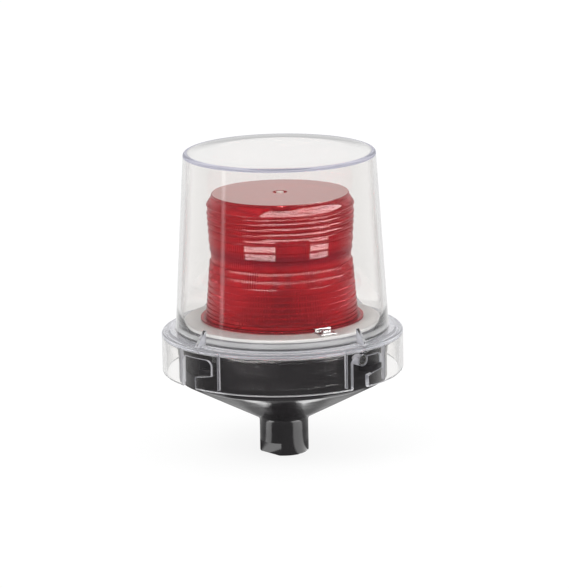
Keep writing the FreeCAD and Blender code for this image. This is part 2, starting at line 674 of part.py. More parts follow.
def red_lens():
    """The lens: rings that narrow away from a plain belt, a shoulder ring and a flat top."""
    heights = [S[f"ring_{k}"] for k in range(RINGS_BELOW)]
    body_low = foot_z + S["lens_foot_thickness"]
    belt_low = body_low + sum(heights, ZERO)
    belt_top = belt_low + S["lens_belt"]
    upper = heights[:RINGS_ABOVE] + [S["collar_ring"]]
    shoulder_low = belt_top + sum(upper, ZERO)
    shoulder_top = shoulder_low + S["shoulder_ring"]
    top = shoulder_top + S["shoulder_rise"]
    wall, roof, belt = S["lens_wall"], S["lens_top_wall"], root_belt
    bottom_up = [(root_low, body_low)]
    bottom_up += ring_wall(root_low, body_low, belt, heights[::-1])
    bottom_up += [(belt, belt_top, S["belt_bulge"])]
    bottom_up += ring_wall(belt, belt_top, root_high, upper)
    bottom_up += [(root_high, shoulder_top, S["ring_bulge"]), (lens_top_radius, top)]
    gate = [(S["gate_radius"], top), (S["gate_radius"], top - S["gate_depth"]),
            (S["gate_nub_radius"], top - S["gate_depth"]), (S["gate_nub_radius"], top), (ZERO, top)]
    inside = [(ZERO, top - roof), (lens_top_radius - wall, top - roof),
              (root_high - wall, shoulder_low), (belt - wall, belt_top),
              (belt - wall, belt_low), (root_low - wall, body_low),
              (root_low - wall, foot_z), (lens_foot_radius, foot_z),
              (lens_foot_radius, body_low)]
    return lathe("red_lens", bottom_up + gate + inside)


# ---------------------------------------------------------------- flash tube

plug_radius = S["envelope_radius"] + S["plug_lip"]
socket_radius = plug_radius + S["socket_lip"]
socket_foot_radius = socket_radius + S["socket_flange"]
socket_screw_circle = socket_foot_radius - S["socket_screw_inset"]
socket_top = plate_top + S["socket_height"]
plug_top = socket_top + S["plug_height"]
cap_top = plug_top + S["cap_height"]
tube_leg = (S["envelope_height"] - S["envelope_radius"] - S["cap_height"]
            - S["tube_top_gap"])
PIN_COUNT = 3


def pin_column(label, radius, height, z, pitch_radius):
    return [place_polar(rod(label, radius, height), pitch_radius, azimuth, z)
            for azimuth in around(PIN_COUNT, ZERO)]


def tube_socket():
    foot = S["socket_foot_height"]
    blank = lathe("socket_blank", [
        (ZERO, plate_top), (socket_foot_radius, plate_top),
        (socket_foot_radius, plate_top + foot), (socket_radius, plate_top + foot),
        (socket_radius, socket_top), (ZERO, socket_top)])
    depth = S["pin_length"] + S["running_gap"]
    tools = pin_column("pin_hole", S["pin_radius"] + S["running_gap"], depth + CUT_MARGIN,
                       socket_top - depth, S["pin_circle_radius"])
    tools += [place_polar(rod("foot_hole", S["small_shank_radius"], foot + CUT_MARGIN * 2),
                          socket_screw_circle, azimuth, plate_top - CUT_MARGIN)
              for azimuth in around(PAIR, ZERO)]
    return carved("tube_socket", blank, tools)


def socket_screws():
    level = plate_top + S["socket_foot_height"]
    length = level - plate_low
    screws = []
    for azimuth in around(PAIR, ZERO):
        screw = pan_screw("socket_screw", S["small_head_radius"], S["small_head_height"],
                          S["small_shank_radius"], length)
        screws.append(place_polar(screw, socket_screw_circle, azimuth, level, azimuth))
    return grouped("socket_screws", screws)


def tube_plug():
    return place(rod("tube_plug", plug_radius, S["plug_height"]), z=socket_top)


def tube_pins():
    return grouped("tube_pins", pin_column("pin", S["pin_radius"], S["pin_length"],
                                           socket_top - S["pin_length"], S["pin_circle_radius"]))


def tube_sides():
    return (S["tube_half_span"], -S["tube_half_span"])


def tube_electrodes():
    return grouped("tube_electrodes", [place(rod("electrode", S["cap_radius"], S["cap_height"]),
                                             x=side, z=plug_top) for side in tube_sides()])


def flash_tube():
    """A U of sealed glass: two legs and a half ring over them."""
    legs = [place(rod("tube_leg", S["tube_radius"], tube_leg), x=side, z=cap_top)
            for side in tube_sides()]
    bend = doc.addObject("Part::Torus", "Bend")
    bend.Label = "tube_bend"
    bend.setExpression("Radius1", S["tube_half_span"].text)
    bend.setExpression("Radius2", S["tube_radius"].text)
    bend.Angle3 = HALF_TURN
    place(bend, z=cap_top + tube_leg, tilt=QUARTER_TURN)
    return joined("flash_tube", legs + [bend])


def trigger_wire():
    """A stiff wire up the middle of the U, with a bar that just meets both legs."""
    rise = S["cap_height"] + tube_leg * HALF
    stem = place(rod("trigger_stem", S["wire_radius"], rise), z=plug_top)
    bar = rod("trigger_bar", S["wire_radius"], (S["tube_half_span"] - S["tube_radius"]) * 2)
    bar.setExpression("Placement", f"placement(vector(0 - {(S['tube_half_span'] - S['tube_radius']).text}"
                                   f"; 0; {(plug_top + rise).text}); rotationy({QUARTER_TURN}))")
    return joined("trigger_wire", [stem, bar])


def tube_envelope():
    """A clear domed glass cover that stands on the plug."""
    outer, wall = S["envelope_radius"], S["envelope_wall"]
    top = plug_top + S["envelope_height"]
    inner = outer - wall
    return lathe("tube_envelope", [
        (inner, plug_top), (outer, plug_top), (outer, top - outer),
        (ZERO, top, quarter(outer)), (ZERO, top - wall), (inner, top - outer, -quarter(inner))])


def tube_leads():
    return grouped("tube_leads", pin_column("lead", S["lead_radius"], plate_top - board_top,
                                            board_top, S["lead_circle_radius"]))


# ---------------------------------------------------------------- circuit board

sink_place = board_radius - S["sink_inset"]
terminal_place = board_radius - S["terminal_inset"]


def circuit_board():
    disc = place(rod("board_disc", board_radius, S["board_thickness"]), z=board_low)
    holes = post_column("board_hole", S["small_shank_radius"],
                        S["board_thickness"] + CUT_MARGIN * 2, board_low - CUT_MARGIN)
    return carved("circuit_board", disc, holes)


def board_standoffs():
    outer = post_column("standoff_outer", S["post_radius"], S["board_gap"], board_top)
    bores = post_column("standoff_bore", S["small_shank_radius"], S["board_gap"] + CUT_MARGIN * 2,
                        board_top - CUT_MARGIN)
    return grouped("board_standoffs",
                   [carved("standoff", post, [bore]) for post, bore in zip(outer, bores)])


def small_screw(label, cover=ZERO):
    """The small pan screw, long enough to go through a cover."""
    return pan_screw(label, S["small_head_radius"], S["small_head_height"],
                     S["small_shank_radius"], cover + S["small_grip"])


def plate_screws():
    """Four screws down through the plate into the posts."""
    return grouped("plate_screws", [
        place_polar(small_screw("plate_screw", S["plate_thickness"]), post_circle, azimuth,
                    plate_top, azimuth) for azimuth in around(FOUR, S["post_azimuth"])])


def board_screws():
    """Four screws up through the board into the posts."""
    return grouped("board_screws", [
        place_polar(small_screw("board_screw", S["board_thickness"]), post_circle, azimuth,
                    board_low, ZERO, tilt=HALF_TURN)
        for azimuth in around(FOUR, S["post_azimuth"])])


def storage_capacitor():
    radius, length, curve = S["capacitor_radius"], S["capacitor_length"], S["capacitor_round"]
    can = lathe("storage_capacitor", [
        (ZERO, -length), (radius - curve, -length), (radius, curve - length, quarter(curve)),
        (radius, ZERO), (ZERO, ZERO)])
    return place(can, x=-S["capacitor_place"], z=board_low)


def transformer():
    """The laminated core, with a window on each side of its middle leg, and the winding on it."""
    width, depth, height = S["core_width"], S["core_depth"], S["core_height"]
    winding_radius = width * HALF - S["core_side"]
    winding_height = height - S["core_yoke"] * 2
    winding_low = board_low - S["core_yoke"] - winding_height
    core = place(block("core_block", width, depth, height), S["core_place"] - width * HALF,
                 -(depth * HALF), board_low - height)
    window = place(rod("core_window", winding_radius, winding_height),
                   S["core_place"], ZERO, winding_low)
    leg = place(rod("core_leg", S["winding_bore"], winding_height), S["core_place"], ZERO,
                winding_low)
    hollow = carved("core_hollow", core, [window])
    ring = place(rod("winding_ring", winding_radius, winding_height),
                 S["core_place"], ZERO, winding_low)
    bore = place(rod("winding_bore", S["winding_bore"], winding_height + CUT_MARGIN * 2),
                 S["core_place"], ZERO, winding_low - CUT_MARGIN)
    return joined("transformer_core", [hollow, leg]), carved("transformer_winding", ring, [bore])


def trigger_coil():
    return place(rod("trigger_coil", S["coil_radius"], S["coil_height"]), x=S["coil_place"], z=board_top)


def heat_sink():
    """An upright plate with fins that point towards the rim."""
    width, base = S["sink_width"], S["sink_base"]
    parts = [place(block("sink_base", width, base, S["sink_height"]), -(width * HALF),
                   sink_place, board_top)]
    fins = int(SIZES["sink_fins"])
    pitch = (width - S["sink_fin"]) / (S["sink_fins"] - 1)
    for k in range(fins):
        fin = block("sink_fin", S["sink_fin"], S["sink_fin_reach"], S["sink_height"])
        parts.append(place(fin, pitch * k - width * HALF, sink_place + base, board_top))
    return joined("heat_sink", parts)


def power_transistor():
    width, thickness = S["transistor_width"], S["transistor_thickness"]
    body = block("power_transistor", width, thickness, S["transistor_height"])
    return place(body, -(width * HALF), sink_place - thickness, board_top)


def terminal_places():
    return [S["terminal_spacing"] * k for k in (-1, 0, 1)]


def terminal_block():
    """A three-way block under the board, with its screws facing down."""
    width, depth, height = S["terminal_width"], S["terminal_depth"], S["terminal_height"]
    body = place(block("terminal_body", width, depth, height), -(width * HALF),
                 -(terminal_place + depth * HALF), board_low - height)
    holes = [place(rod("terminal_hole", S["small_shank_radius"], S["small_grip"] + CUT_MARGIN), x,
                   -terminal_place, board_low - height - CUT_MARGIN) for x in terminal_places()]
    return carved("terminal_block", body, holes)


def terminal_screws():
    level = board_low - S["terminal_height"]
    return grouped("terminal_screws", [
        place(small_screw("terminal_screw"), x, -terminal_place, level, tilt=HALF_TURN)
        for x in terminal_places()])


def earth_screw():
    return place(small_screw("earth_screw"), y=S["earth_place"], z=earth_top)


# ---------------------------------------------------------------- build, check and write

def build_all():
    """Build every sub-part and return them; their labels name their files."""
    transformer_core, transformer_winding = transformer()
    return [
        base_housing(), dome_gasket(), outer_dome(), lock_screw_insert(), lock_screw(),
        mounting_plate(), plate_spacers(), lens_clips(), lens_screws(), lens_gasket(), red_lens(),
        tube_socket(), socket_screws(), tube_plug(), tube_pins(), tube_electrodes(), flash_tube(),
        trigger_wire(), tube_envelope(), tube_leads(), circuit_board(), board_standoffs(),
        plate_screws(), board_screws(), storage_capacitor(), transformer_core,
        transformer_winding, trigger_coil(), heat_sink(),
        power_transistor(), terminal_block(), terminal_screws(), earth_screw(),
    ]


def check(nodes):
    """Stop if any object failed, or if a sub-part is empty or not valid."""
    for item in doc.Objects:
        if {"Invalid", "Error"} & set(item.State):
            raise RuntimeError(f"{item.Label} ({item.Name}) did not compute: {item.getStatusString()}")
    for node in nodes:
        if node.Shape.isNull() or not node.Shape.isValid() or not node.Shape.Solids:
            raise RuntimeError(f"{node.Label} is empty or not valid")


def write(nodes):
    os.makedirs("parts", exist_ok=True)
    for node in nodes:
        node.Shape.exportStep(os.path.join("parts", node.Label + ".step"))
        print(f"{node.Label}: {len(node.Shape.Solids)} solid(s), {node.Shape.Volume:.1f} mm3")


sub_parts = build_all()
doc.recompute()
check(sub_parts)
write(sub_parts)
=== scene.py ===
import logging
import math
from dataclasses import dataclass
from enum import Enum
from functools import reduce
from typing import ClassVar, Sequence

import bmesh
import bpy
from mathutils import Matrix, Vector

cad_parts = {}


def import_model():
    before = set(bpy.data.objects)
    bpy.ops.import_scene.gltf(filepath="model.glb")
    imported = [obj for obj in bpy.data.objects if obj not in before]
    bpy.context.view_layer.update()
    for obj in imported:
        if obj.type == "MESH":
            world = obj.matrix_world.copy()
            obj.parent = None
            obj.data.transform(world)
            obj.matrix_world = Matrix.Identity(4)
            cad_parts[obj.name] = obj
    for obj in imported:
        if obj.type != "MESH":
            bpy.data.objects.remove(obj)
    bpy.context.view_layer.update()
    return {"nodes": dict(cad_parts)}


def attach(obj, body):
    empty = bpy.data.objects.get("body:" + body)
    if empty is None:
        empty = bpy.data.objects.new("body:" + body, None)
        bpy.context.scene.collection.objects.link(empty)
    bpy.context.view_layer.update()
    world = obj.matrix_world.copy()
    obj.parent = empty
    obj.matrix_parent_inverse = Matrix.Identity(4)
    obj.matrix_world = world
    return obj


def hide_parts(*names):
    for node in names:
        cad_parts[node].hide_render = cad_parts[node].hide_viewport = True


LOG = logging.getLogger("warning_light")
MM = 0.001
QUARTER = 4               # lugs, slots and ribs stand in rings of four
PAIR = 2                  # lens clips and wrench flats stand opposite each other
FULL_TURN = 2.0 * math.pi
NEARLY_ZERO = 1e-9
ROUND = 256               # segments of the large turned shapes
TALL_RING = 4.5           # millimetres; taller rings get more rows of points
LUG_AZIMUTH = 50.05       # degrees; the lugs and the slots they sit in share it
SWEEP = 0.002             # how much a turned face's rings change as they go round
ANY_MIRROR = 0.5          # glossy depth above this: the ray has been reflected
FIRST_MIRROR = 1.5        # glossy depth below this: reflected once at the most
OUTER_WALLS = 3.5         # transmission depth below this: through the dome only
INNER_WALLS = 4.5         # transmission depth below this: seen from under the dome

Point = tuple[float, float]
Colour = tuple[float, float, float]
Item, Mesh, Material = bpy.types.Object, bpy.types.Mesh, bpy.types.Material
Tree, Socket = bpy.types.NodeTree, bpy.types.NodeSocket
Sockets = bpy.types.bpy_prop_collection
FLOAT, TINT, WHOLE = "NodeSocketFloat", "NodeSocketColor", "NodeSocketInt"


# ---- node graphs

class Graph:
    """A node tree with short calls that add and feed nodes."""

    def __init__(self, tree: Tree) -> None:
        """Start from an empty tree."""
        self.tree = tree
        tree.nodes.clear()

    def add(self, kind: str, feeds: dict | None = None, **settings) -> bpy.types.Node:
        """Add a node.

        Args:
            kind: The node's type name.
            feeds: Values or sockets for its inputs, by name or place.
            settings: The node's own properties.

        Returns:
            The new node.
        """
        node = self.tree.nodes.new(kind)
        for key, value in settings.items():
            setattr(node, key, value)
        for key, value in (feeds or {}).items():
            self.feed(node.inputs[key], value)
        return node

    def feed(self, target: Socket, value) -> None:
        """Link a socket to an input, or set the input to a plain value."""
        if isinstance(value, Socket):
            self.tree.links.new(value, target)
        else:
            target.default_value = value

    def math(self, operation: str, *values) -> Socket:
        """Add a Math node and return its result."""
        return self.add("ShaderNodeMath", dict(enumerate(values)), operation=operation).outputs[0]

    def vector(self, operation: str, *values) -> Socket:
        """Add a Vector Math node and return its vector."""
        node = self.add("ShaderNodeVectorMath", dict(enumerate(values)), operation=operation)
        return node.outputs["Vector"]

    def ramp(self, value, low: float, high: float, to_low=0.0, to_high=1.0) -> Socket:
        """Map a value smoothly from one range to another, clamped."""
        node = self.add("ShaderNodeMapRange", {"Value": value, "From Min": low, "From Max": high,
                                               "To Min": to_low, "To Max": to_high},
                        interpolation_type="SMOOTHSTEP")
        return node.outputs["Result"]

    def mix(self, share, first, second) -> Socket:
        """Mix two colours by a share."""
        node = self.add("ShaderNodeMix", {"Factor": share}, data_type="RGBA")
        self.feed(node.inputs[6], first)
        self.feed(node.inputs[7], second)
        return node.outputs[2]

    def noise(self, vector, scale, detail: float = 3.0) -> Socket:
        """Add a noise texture and return its value."""
        node = self.add("ShaderNodeTexNoise", {"Vector": vector, "Scale": scale, "Detail": detail})
        return node.outputs["Fac"]

    def times(self, *values) -> Socket:
        """Multiply values."""
        return reduce(lambda first, second: self.math("MULTIPLY", first, second), values)

    def minus(self, first, second) -> Socket:
        """Subtract the second value from the first."""
        return self.math("SUBTRACT", first, second)

    def largest(self, first, second) -> Socket:
        """The larger of two values."""
        return self.math("MAXIMUM", first, second)

    def azimuth(self, x, y) -> Socket:
        """The turn from the front towards +X, in radians."""
        return self.math("ARCTAN2", x, self.times(y, -1.0))

    def place(self) -> Socket:
        """Where a point is on its object."""
        return self.add("ShaderNodeTexCoord").outputs["Object"]

    def path(self) -> Sockets:
        """What kind of ray asks, and how many bounces it has behind it."""
        return self.add("ShaderNodeLightPath").outputs

    def split(self, vector) -> Sockets:
        """The three parts of a vector."""
        return self.add("ShaderNodeSeparateXYZ", {0: vector}).outputs

    def blend(self, share, first: bpy.types.Node, second: bpy.types.Node) -> bpy.types.Node:
        """Mix two shaders by a share."""
        return self.add("ShaderNodeMixShader", {0: share, 1: first.outputs[0],
                                                2: second.outputs[0]})

    def close(self, shader: bpy.types.Node, kind: str = "Material") -> None:
        """End the tree in a shader, as a material or a world."""
        self.feed(self.add("ShaderNodeOutput" + kind).inputs["Surface"], shader.outputs[0])


def rgba(colour: Colour) -> tuple[float, float, float, float]:
    """A colour with full alpha."""
    return (*colour, 1.0)


def open_group(name: str, kind: str, inputs: dict[str, tuple[str, object]],
               outputs: dict[str, str]) -> tuple[Graph, Sockets]:
    """Start a node group with named sockets.

    Args:
        name: The group's name.
        kind: The tree's type name.
        inputs: Socket type and default value by input name.
        outputs: Socket type by output name.

    Returns:
        The group's graph and its input sockets.
    """
    graph = Graph(bpy.data.node_groups.new(name, kind))
    for label, (socket_type, default) in inputs.items():
        socket = graph.tree.interface.new_socket(name=label, in_out="INPUT",
                                                 socket_type=socket_type)
        if default is not None:
            socket.default_value = default
    for label, socket_type in outputs.items():
        graph.tree.interface.new_socket(name=label, in_out="OUTPUT", socket_type=socket_type)
    return graph, graph.add("NodeGroupInput").outputs


def close_group(graph: Graph, **values) -> Tree:
    """End a node group in its outputs."""
    sink = graph.add("NodeGroupOutput")
    for key, value in values.items():
        graph.feed(sink.inputs[key], value)
    return graph.tree


def new_material(name: str) -> tuple[Material, Graph]:
    """A material with an empty node tree, and its graph."""
    material = bpy.data.materials.new(name)
    material.use_nodes = True
    return material, Graph(material.node_tree)


class TreeShelf:
    """Node trees, each built once by the method that has its name."""

    _built: dict[str, Tree] = {}

    @classmethod
    def get(cls, name: str) -> Tree:
        """Return a tree by name, and build it the first time."""
        if name not in cls._built:
            cls._built[name] = getattr(cls, "_" + name)()
        return cls._built[name]


class SurfaceGroups(TreeShelf):
    """Shader node groups that the finishes share."""

    @staticmethod
    def _moulded() -> Tree:
        """Mottled colour, roughness and fine grain of a moulded or cast surface."""
        graph, source = open_group("moulded", "ShaderNodeTree", {
            "Colour": (TINT, (0.5, 0.5, 0.5, 1.0)), "Shade": (TINT, (0.4, 0.4, 0.4, 1.0)),
            "Mottle Scale": (FLOAT, 60.0), "Rough Low": (FLOAT, 0.2), "Rough High": (FLOAT, 0.3),
            "Grain Scale": (FLOAT, 2000.0), "Grain": (FLOAT, 0.2),
        }, {"Colour": TINT, "Roughness": FLOAT, "Height": FLOAT})
        where = graph.place()
        mottle = graph.ramp(graph.noise(where, source["Mottle Scale"]), 0.35, 0.65)
        smear = graph.noise(graph.vector("MULTIPLY", where, (1.0, 1.0, 3.5)),
                            source["Mottle Scale"], 5.0)
        grain = graph.noise(where, source["Grain Scale"], 2.0)
        spread = graph.minus(source["Rough High"], source["Rough Low"])
        rough = graph.math("MULTIPLY_ADD", graph.ramp(smear, 0.3, 0.7), spread, source["Rough Low"])
        return close_group(graph, Colour=graph.mix(mottle, source["Colour"], source["Shade"]),
                           Roughness=rough, Height=graph.times(grain, source["Grain"]))

    @staticmethod
    def _turned() -> Tree:
        """Fine rings round the Z axis, as a spun or turned metal face has."""
        graph, source = open_group("turned", "ShaderNodeTree", {
            "Density": (FLOAT, 900.0), "Depth": (FLOAT, 0.3)}, {"Height": FLOAT})
        where = graph.place()
        parts = graph.split(where)
        across = graph.math("SQRT", graph.math("ADD", graph.times(parts[0], parts[0]),
                                               graph.times(parts[1], parts[1])))
        around = graph.math("ARCTAN2", parts[0], parts[1])
        swept = graph.add("ShaderNodeCombineXYZ", {
            0: across, 1: graph.times(around, SWEEP), 2: parts[2]}).outputs[0]
        rings = graph.noise(swept, source["Density"], 4.0)
        return close_group(graph, Height=graph.times(rings, source["Depth"]))

    @staticmethod
    def _band() -> Tree:
        """A soft mask between two heights, outside a radius about the Z axis."""
        graph, source = open_group("band", "ShaderNodeTree", {
            "Low": (FLOAT, 0.0), "High": (FLOAT, 1.0),
            "Inner": (FLOAT, 0.0), "Soft": (FLOAT, 0.002)}, {"Mask": FLOAT})
        where = graph.place()
        level = graph.split(where)[2]
        flat = graph.vector("MULTIPLY", where, (1.0, 1.0, 0.0))
        across = graph.add("ShaderNodeVectorMath", {0: flat}, operation="LENGTH").outputs["Value"]
        mask = 1.0
        for low, high in ((source["Low"], level), (level, source["High"]),
                          (source["Inner"], across)):
            gap = graph.math("DIVIDE", graph.minus(high, low), source["Soft"])
            mask = graph.times(graph.ramp(gap, 0.0, 1.0), mask)
        return close_group(graph, Mask=mask)


def place_group(graph: Graph, name: str, **values) -> Sockets:
    """Place a shared group in a material.

    Args:
        graph: The material's graph.
        name: The group's name.
        values: Its inputs, with underscores for spaces.

    Returns:
        The group's outputs.
    """
    node = graph.add("ShaderNodeGroup", node_tree=SurfaceGroups.get(name))
    for key, value in values.items():
        graph.feed(node.inputs[key.replace("_", " ")], value)
    return node.outputs


# ---- finishes

class Lay(Enum):
    """Which way a metal's fine tool marks run."""

    NONE = "none"
    TURNED = "turned"


@dataclass(frozen=True)
class SolidFinish:
    """An opaque finish: two close shades, a range of roughness and a fine grain."""

    name: str
    colour: Colour
    shade: Colour
    rough: tuple[float, float] = (0.3, 0.45)
    metallic: float = 0.0
    mottle: float = 60.0
    grain_scale: float = 2500.0
    grain: float = 0.3
    bump: float = 0.15
    lay: Lay = Lay.NONE

    def build(self) -> Material:
        """Build the material."""
        material, graph = new_material(self.name)
        skin = place_group(graph, "moulded", Colour=rgba(self.colour), Shade=rgba(self.shade),
                           Mottle_Scale=self.mottle, Rough_Low=self.rough[0],
                           Rough_High=self.rough[1], Grain_Scale=self.grain_scale, Grain=self.grain)
        height = skin["Height"]
        if self.lay is Lay.TURNED:
            rings = place_group(graph, "turned", Depth=0.6)
            height = graph.math("ADD", height, rings["Height"])
        bump = graph.add("ShaderNodeBump", {"Height": height, "Strength": self.bump,
                                            "Distance": 0.0002})
        shader = graph.add("ShaderNodeBsdfPrincipled", {
            "Base Color": skin["Colour"], "Roughness": skin["Roughness"],
            "Metallic": self.metallic, "Normal": bump.outputs[0]})
        graph.close(shader)
        return material


@dataclass(frozen=True)
class Band:
    """A stretch of height, outside a radius, with its own tint and dullness: painted light and
    shade. Millimetres.
    """

    low: float
    high: float
    inner: float
    soft: float
    tint: Colour
    haze: float = 0.0


@dataclass(frozen=True)
class ClearFinish:
    """A clear or tinted moulding that lets light through.

    Haze is the share of the surface that scatters light, all over and in its bands. The edge-on
    sheen is painted sheen: a dull share that rises where the surface is seen edge-on.
    """

    name: str
    tint: Colour
    dull: Colour
    veil: Colour
    bands: tuple[Band, ...] = ()
    haze: float = 0.0
    edge_on_sheen: float = 0.0
    rough: tuple[float, float] = (0.0, 0.03)
    ior: float = 1.5
    ripple: float = 0.02

    def build(self) -> Material:
        """Build the material."""
        material, graph = new_material(self.name)
        skin = place_group(graph, "moulded", Colour=rgba(self.tint), Shade=rgba(self.tint),
                           Mottle_Scale=40.0, Rough_Low=self.rough[0], Rough_High=self.rough[1],
                           Grain_Scale=90.0, Grain=1.0)
        tint, dull = skin["Colour"], rgba(self.dull)
        # Painted sheen: the dull share rises where the surface is seen edge-on; the bands add
        # painted light and shade.
        facing = graph.add("ShaderNodeLayerWeight", {"Blend": 0.5}).outputs["Facing"]
        haze = graph.math("ADD", graph.ramp(facing, 0.6, 1.0, 0.0, self.edge_on_sheen), self.haze)
        for band in self.bands:
            mask = place_group(graph, "band", Low=band.low * MM, High=band.high * MM,
                               Inner=band.inner * MM, Soft=band.soft * MM)["Mask"]
            tint = graph.mix(mask, tint, rgba(band.tint))
            dull = graph.mix(mask, dull, rgba(band.tint))
            haze = graph.largest(haze, graph.times(mask, band.haze))
        bump = graph.add("ShaderNodeBump", {"Height": skin["Height"], "Strength": self.ripple,
                                            "Distance": 0.002})
        clear = graph.add("ShaderNodeBsdfPrincipled", {
            "Base Color": tint, "Roughness": skin["Roughness"], "IOR": self.ior,
            "Transmission Weight": 1.0, "Normal": bump.outputs[0]})
        scuffed = graph.add("ShaderNodeBsdfDiffuse", {"Color": dull, "Normal": bump.outputs[0]})
        surface = graph.blend(haze, clear, scuffed)
        path = graph.path()
        passing = graph.largest(path["Is Shadow Ray"], path["Is Diffuse Ray"])
        veil = graph.add("ShaderNodeBsdfTransparent", {"Color": rgba(self.veil)})
        graph.close(graph.blend(passing, surface, veil))
        return material


BLACK_MOULDING = SolidFinish("black_moulding", (0.022, 0.020, 0.022), (0.027, 0.025, 0.027),
                             rough=(0.10, 0.2), mottle=45.0, grain=0.2, bump=0.05)
BLACK_RUBBER = SolidFinish("black_rubber", (0.02, 0.02, 0.02), (0.035, 0.034, 0.033),
                           rough=(0.6, 0.8), grain=0.6, bump=0.3)
BRASS = SolidFinish("turned_brass", (0.70, 0.50, 0.22), (0.58, 0.40, 0.16), rough=(0.2, 0.35),
                    metallic=1.0)
PLATED_STEEL = SolidFinish("plated_steel", (0.66, 0.65, 0.65), (0.50, 0.49, 0.50),
                           rough=(0.2, 0.36), metallic=1.0, mottle=140.0, grain=0.2)
SPUN_PLATE = SolidFinish("spun_plate", (0.85, 0.84, 0.82), (0.78, 0.77, 0.755),
                         rough=(0.36, 0.48), metallic=0.45, mottle=30.0, bump=0.1, lay=Lay.TURNED)
PHENOLIC = SolidFinish("dark_phenolic", (0.05, 0.035, 0.03), (0.035, 0.025, 0.022),
                       rough=(0.35, 0.5), grain=0.4)
NICKEL = SolidFinish("nickel", (0.72, 0.69, 0.64), (0.6, 0.58, 0.53), rough=(0.15, 0.25),
                     metallic=1.0)
LEAD_INSULATION = SolidFinish("lead_insulation", (0.7, 0.68, 0.62), (0.62, 0.6, 0.55))
BOARD = SolidFinish("board_green", (0.03, 0.16, 0.06), (0.05, 0.22, 0.09), mottle=300.0,
                    rough=(0.25, 0.4))
SLEEVE = SolidFinish("capacitor_sleeve", (0.03, 0.05, 0.18), (0.025, 0.04, 0.14),
                     rough=(0.15, 0.25))
CORE_STEEL = SolidFinish("core_steel", (0.16, 0.15, 0.15), (0.22, 0.21, 0.2), metallic=0.7,
                         rough=(0.4, 0.6), mottle=400.0)
TAPE = SolidFinish("winding_tape", (0.72, 0.55, 0.08), (0.62, 0.47, 0.07), rough=(0.3, 0.45))
SINK = SolidFinish("sink_aluminium", (0.62, 0.63, 0.64), (0.55, 0.56, 0.57), metallic=1.0,
                   rough=(0.3, 0.45))
TERMINAL = SolidFinish("terminal_plastic", (0.05, 0.18, 0.11), (0.04, 0.15, 0.09))
EARTH_GREEN = SolidFinish("earth_green", (0.04, 0.26, 0.08), (0.03, 0.2, 0.06), metallic=0.4,
                          rough=(0.25, 0.4))
# Painted highlight and painted shade: a white copy of the plate's metal for its rim, and a darker
# copy for its side below.
PLATE_RIM_HIGHLIGHT = SolidFinish("plate_rim_painted_highlight", (0.97, 0.96, 0.95), (0.90, 0.89, 0.88), rough=(0.30, 0.45),
                         mottle=40.0, bump=0.05, lay=Lay.TURNED)
PLATE_SIDE_SHADE = SolidFinish("plate_side_painted_shade", (0.50, 0.49, 0.53), (0.30, 0.29, 0.32), rough=(0.25, 0.45),
                         metallic=0.5, mottle=60.0, bump=0.1, lay=Lay.TURNED)
CLEAR = (0.965, 0.955, 0.945)
CLEAR_DOME = ClearFinish("clear_dome", CLEAR, (0.9, 0.9, 0.9), (0.93, 0.93, 0.93),
    # painted shade: a darker violet-blue, duller line at the crown's rim
    bands=(Band(207.0, 210.0, 62.4, 0.3, (0.56, 0.56, 0.68), 0.45),
           # painted highlight: pale dull bands at the wall's foot and on the flange stand in for
           # light carried inside the clear plastic
           Band(88.4, 93.0, 69.0, 1.5, (0.94, 0.94, 0.94), 0.35),
           Band(84.3, 88.2, 72.9, 0.3, (0.88, 0.89, 0.95), 0.24),
           # painted highlight: a white dull line along the skirt's bottom edge
           Band(58.0, 59.3, 79.0, 0.2, (0.95, 0.95, 0.97), 0.7)),
    edge_on_sheen=0.7, rough=(0.0, 0.02), ior=1.56, ripple=0.001)
# Painted highlight: the cut and narrow sides of the skirt, webs and ribs get a pale dull finish
# that stands in for light carried inside the clear plastic.
CLEAR_EDGE_HIGHLIGHT = ClearFinish("clear_edge_painted_highlight", CLEAR, (0.84, 0.84, 0.92), (0.93, 0.93, 0.93), haze=0.35,
                         rough=(0.05, 0.15), ior=1.56)
RED_LENS = ClearFinish("red_lens", (0.92, 0.155, 0.185), (0.70, 0.055, 0.08), (0.68, 0.08, 0.10),
    # painted shade: a darker maroon band over the belt
    bands=(Band(137.0, 149.0, 20.0, 5.0, (0.55, 0.07, 0.11), 0.15),
           # painted reflection: a paler pink band over the roof, where it is seen at a glancing
           # angle against the white surroundings
           Band(181.3, 183.0, -5.0, 0.2, (0.86, 0.64, 0.61), 0.45)),
    haze=0.2, edge_on_sheen=0.1, rough=(0.01, 0.05), ior=1.49, ripple=0.003)
TUBE_GLASS = ClearFinish("tube_glass", (0.97, 0.98, 0.98), (0.9, 0.9, 0.9), (0.95, 0.95, 0.95),
                         ior=1.47)
# Painted glint: the gate stub's pale tan colour stands in for a bright reflection at the roof's
# centre.
GATE_STUB_GLINT = SolidFinish("gate_stub_painted_glint", (0.98, 0.92, 0.86), (0.85, 0.70, 0.62), mottle=900.0,
                        rough=(0.2, 0.4))


class Finishes:
    """The materials, each built once from its finish."""

    def __init__(self) -> None:
        """Start with nothing built."""
        self._built: dict[str, Material] = {}

    def get(self, finish: SolidFinish | ClearFinish) -> Material:
        """Return the material of a finish."""
        if finish.name not in self._built:
            self._built[finish.name] = finish.build()
        return self._built[finish.name]


# ---- outlines and meshes

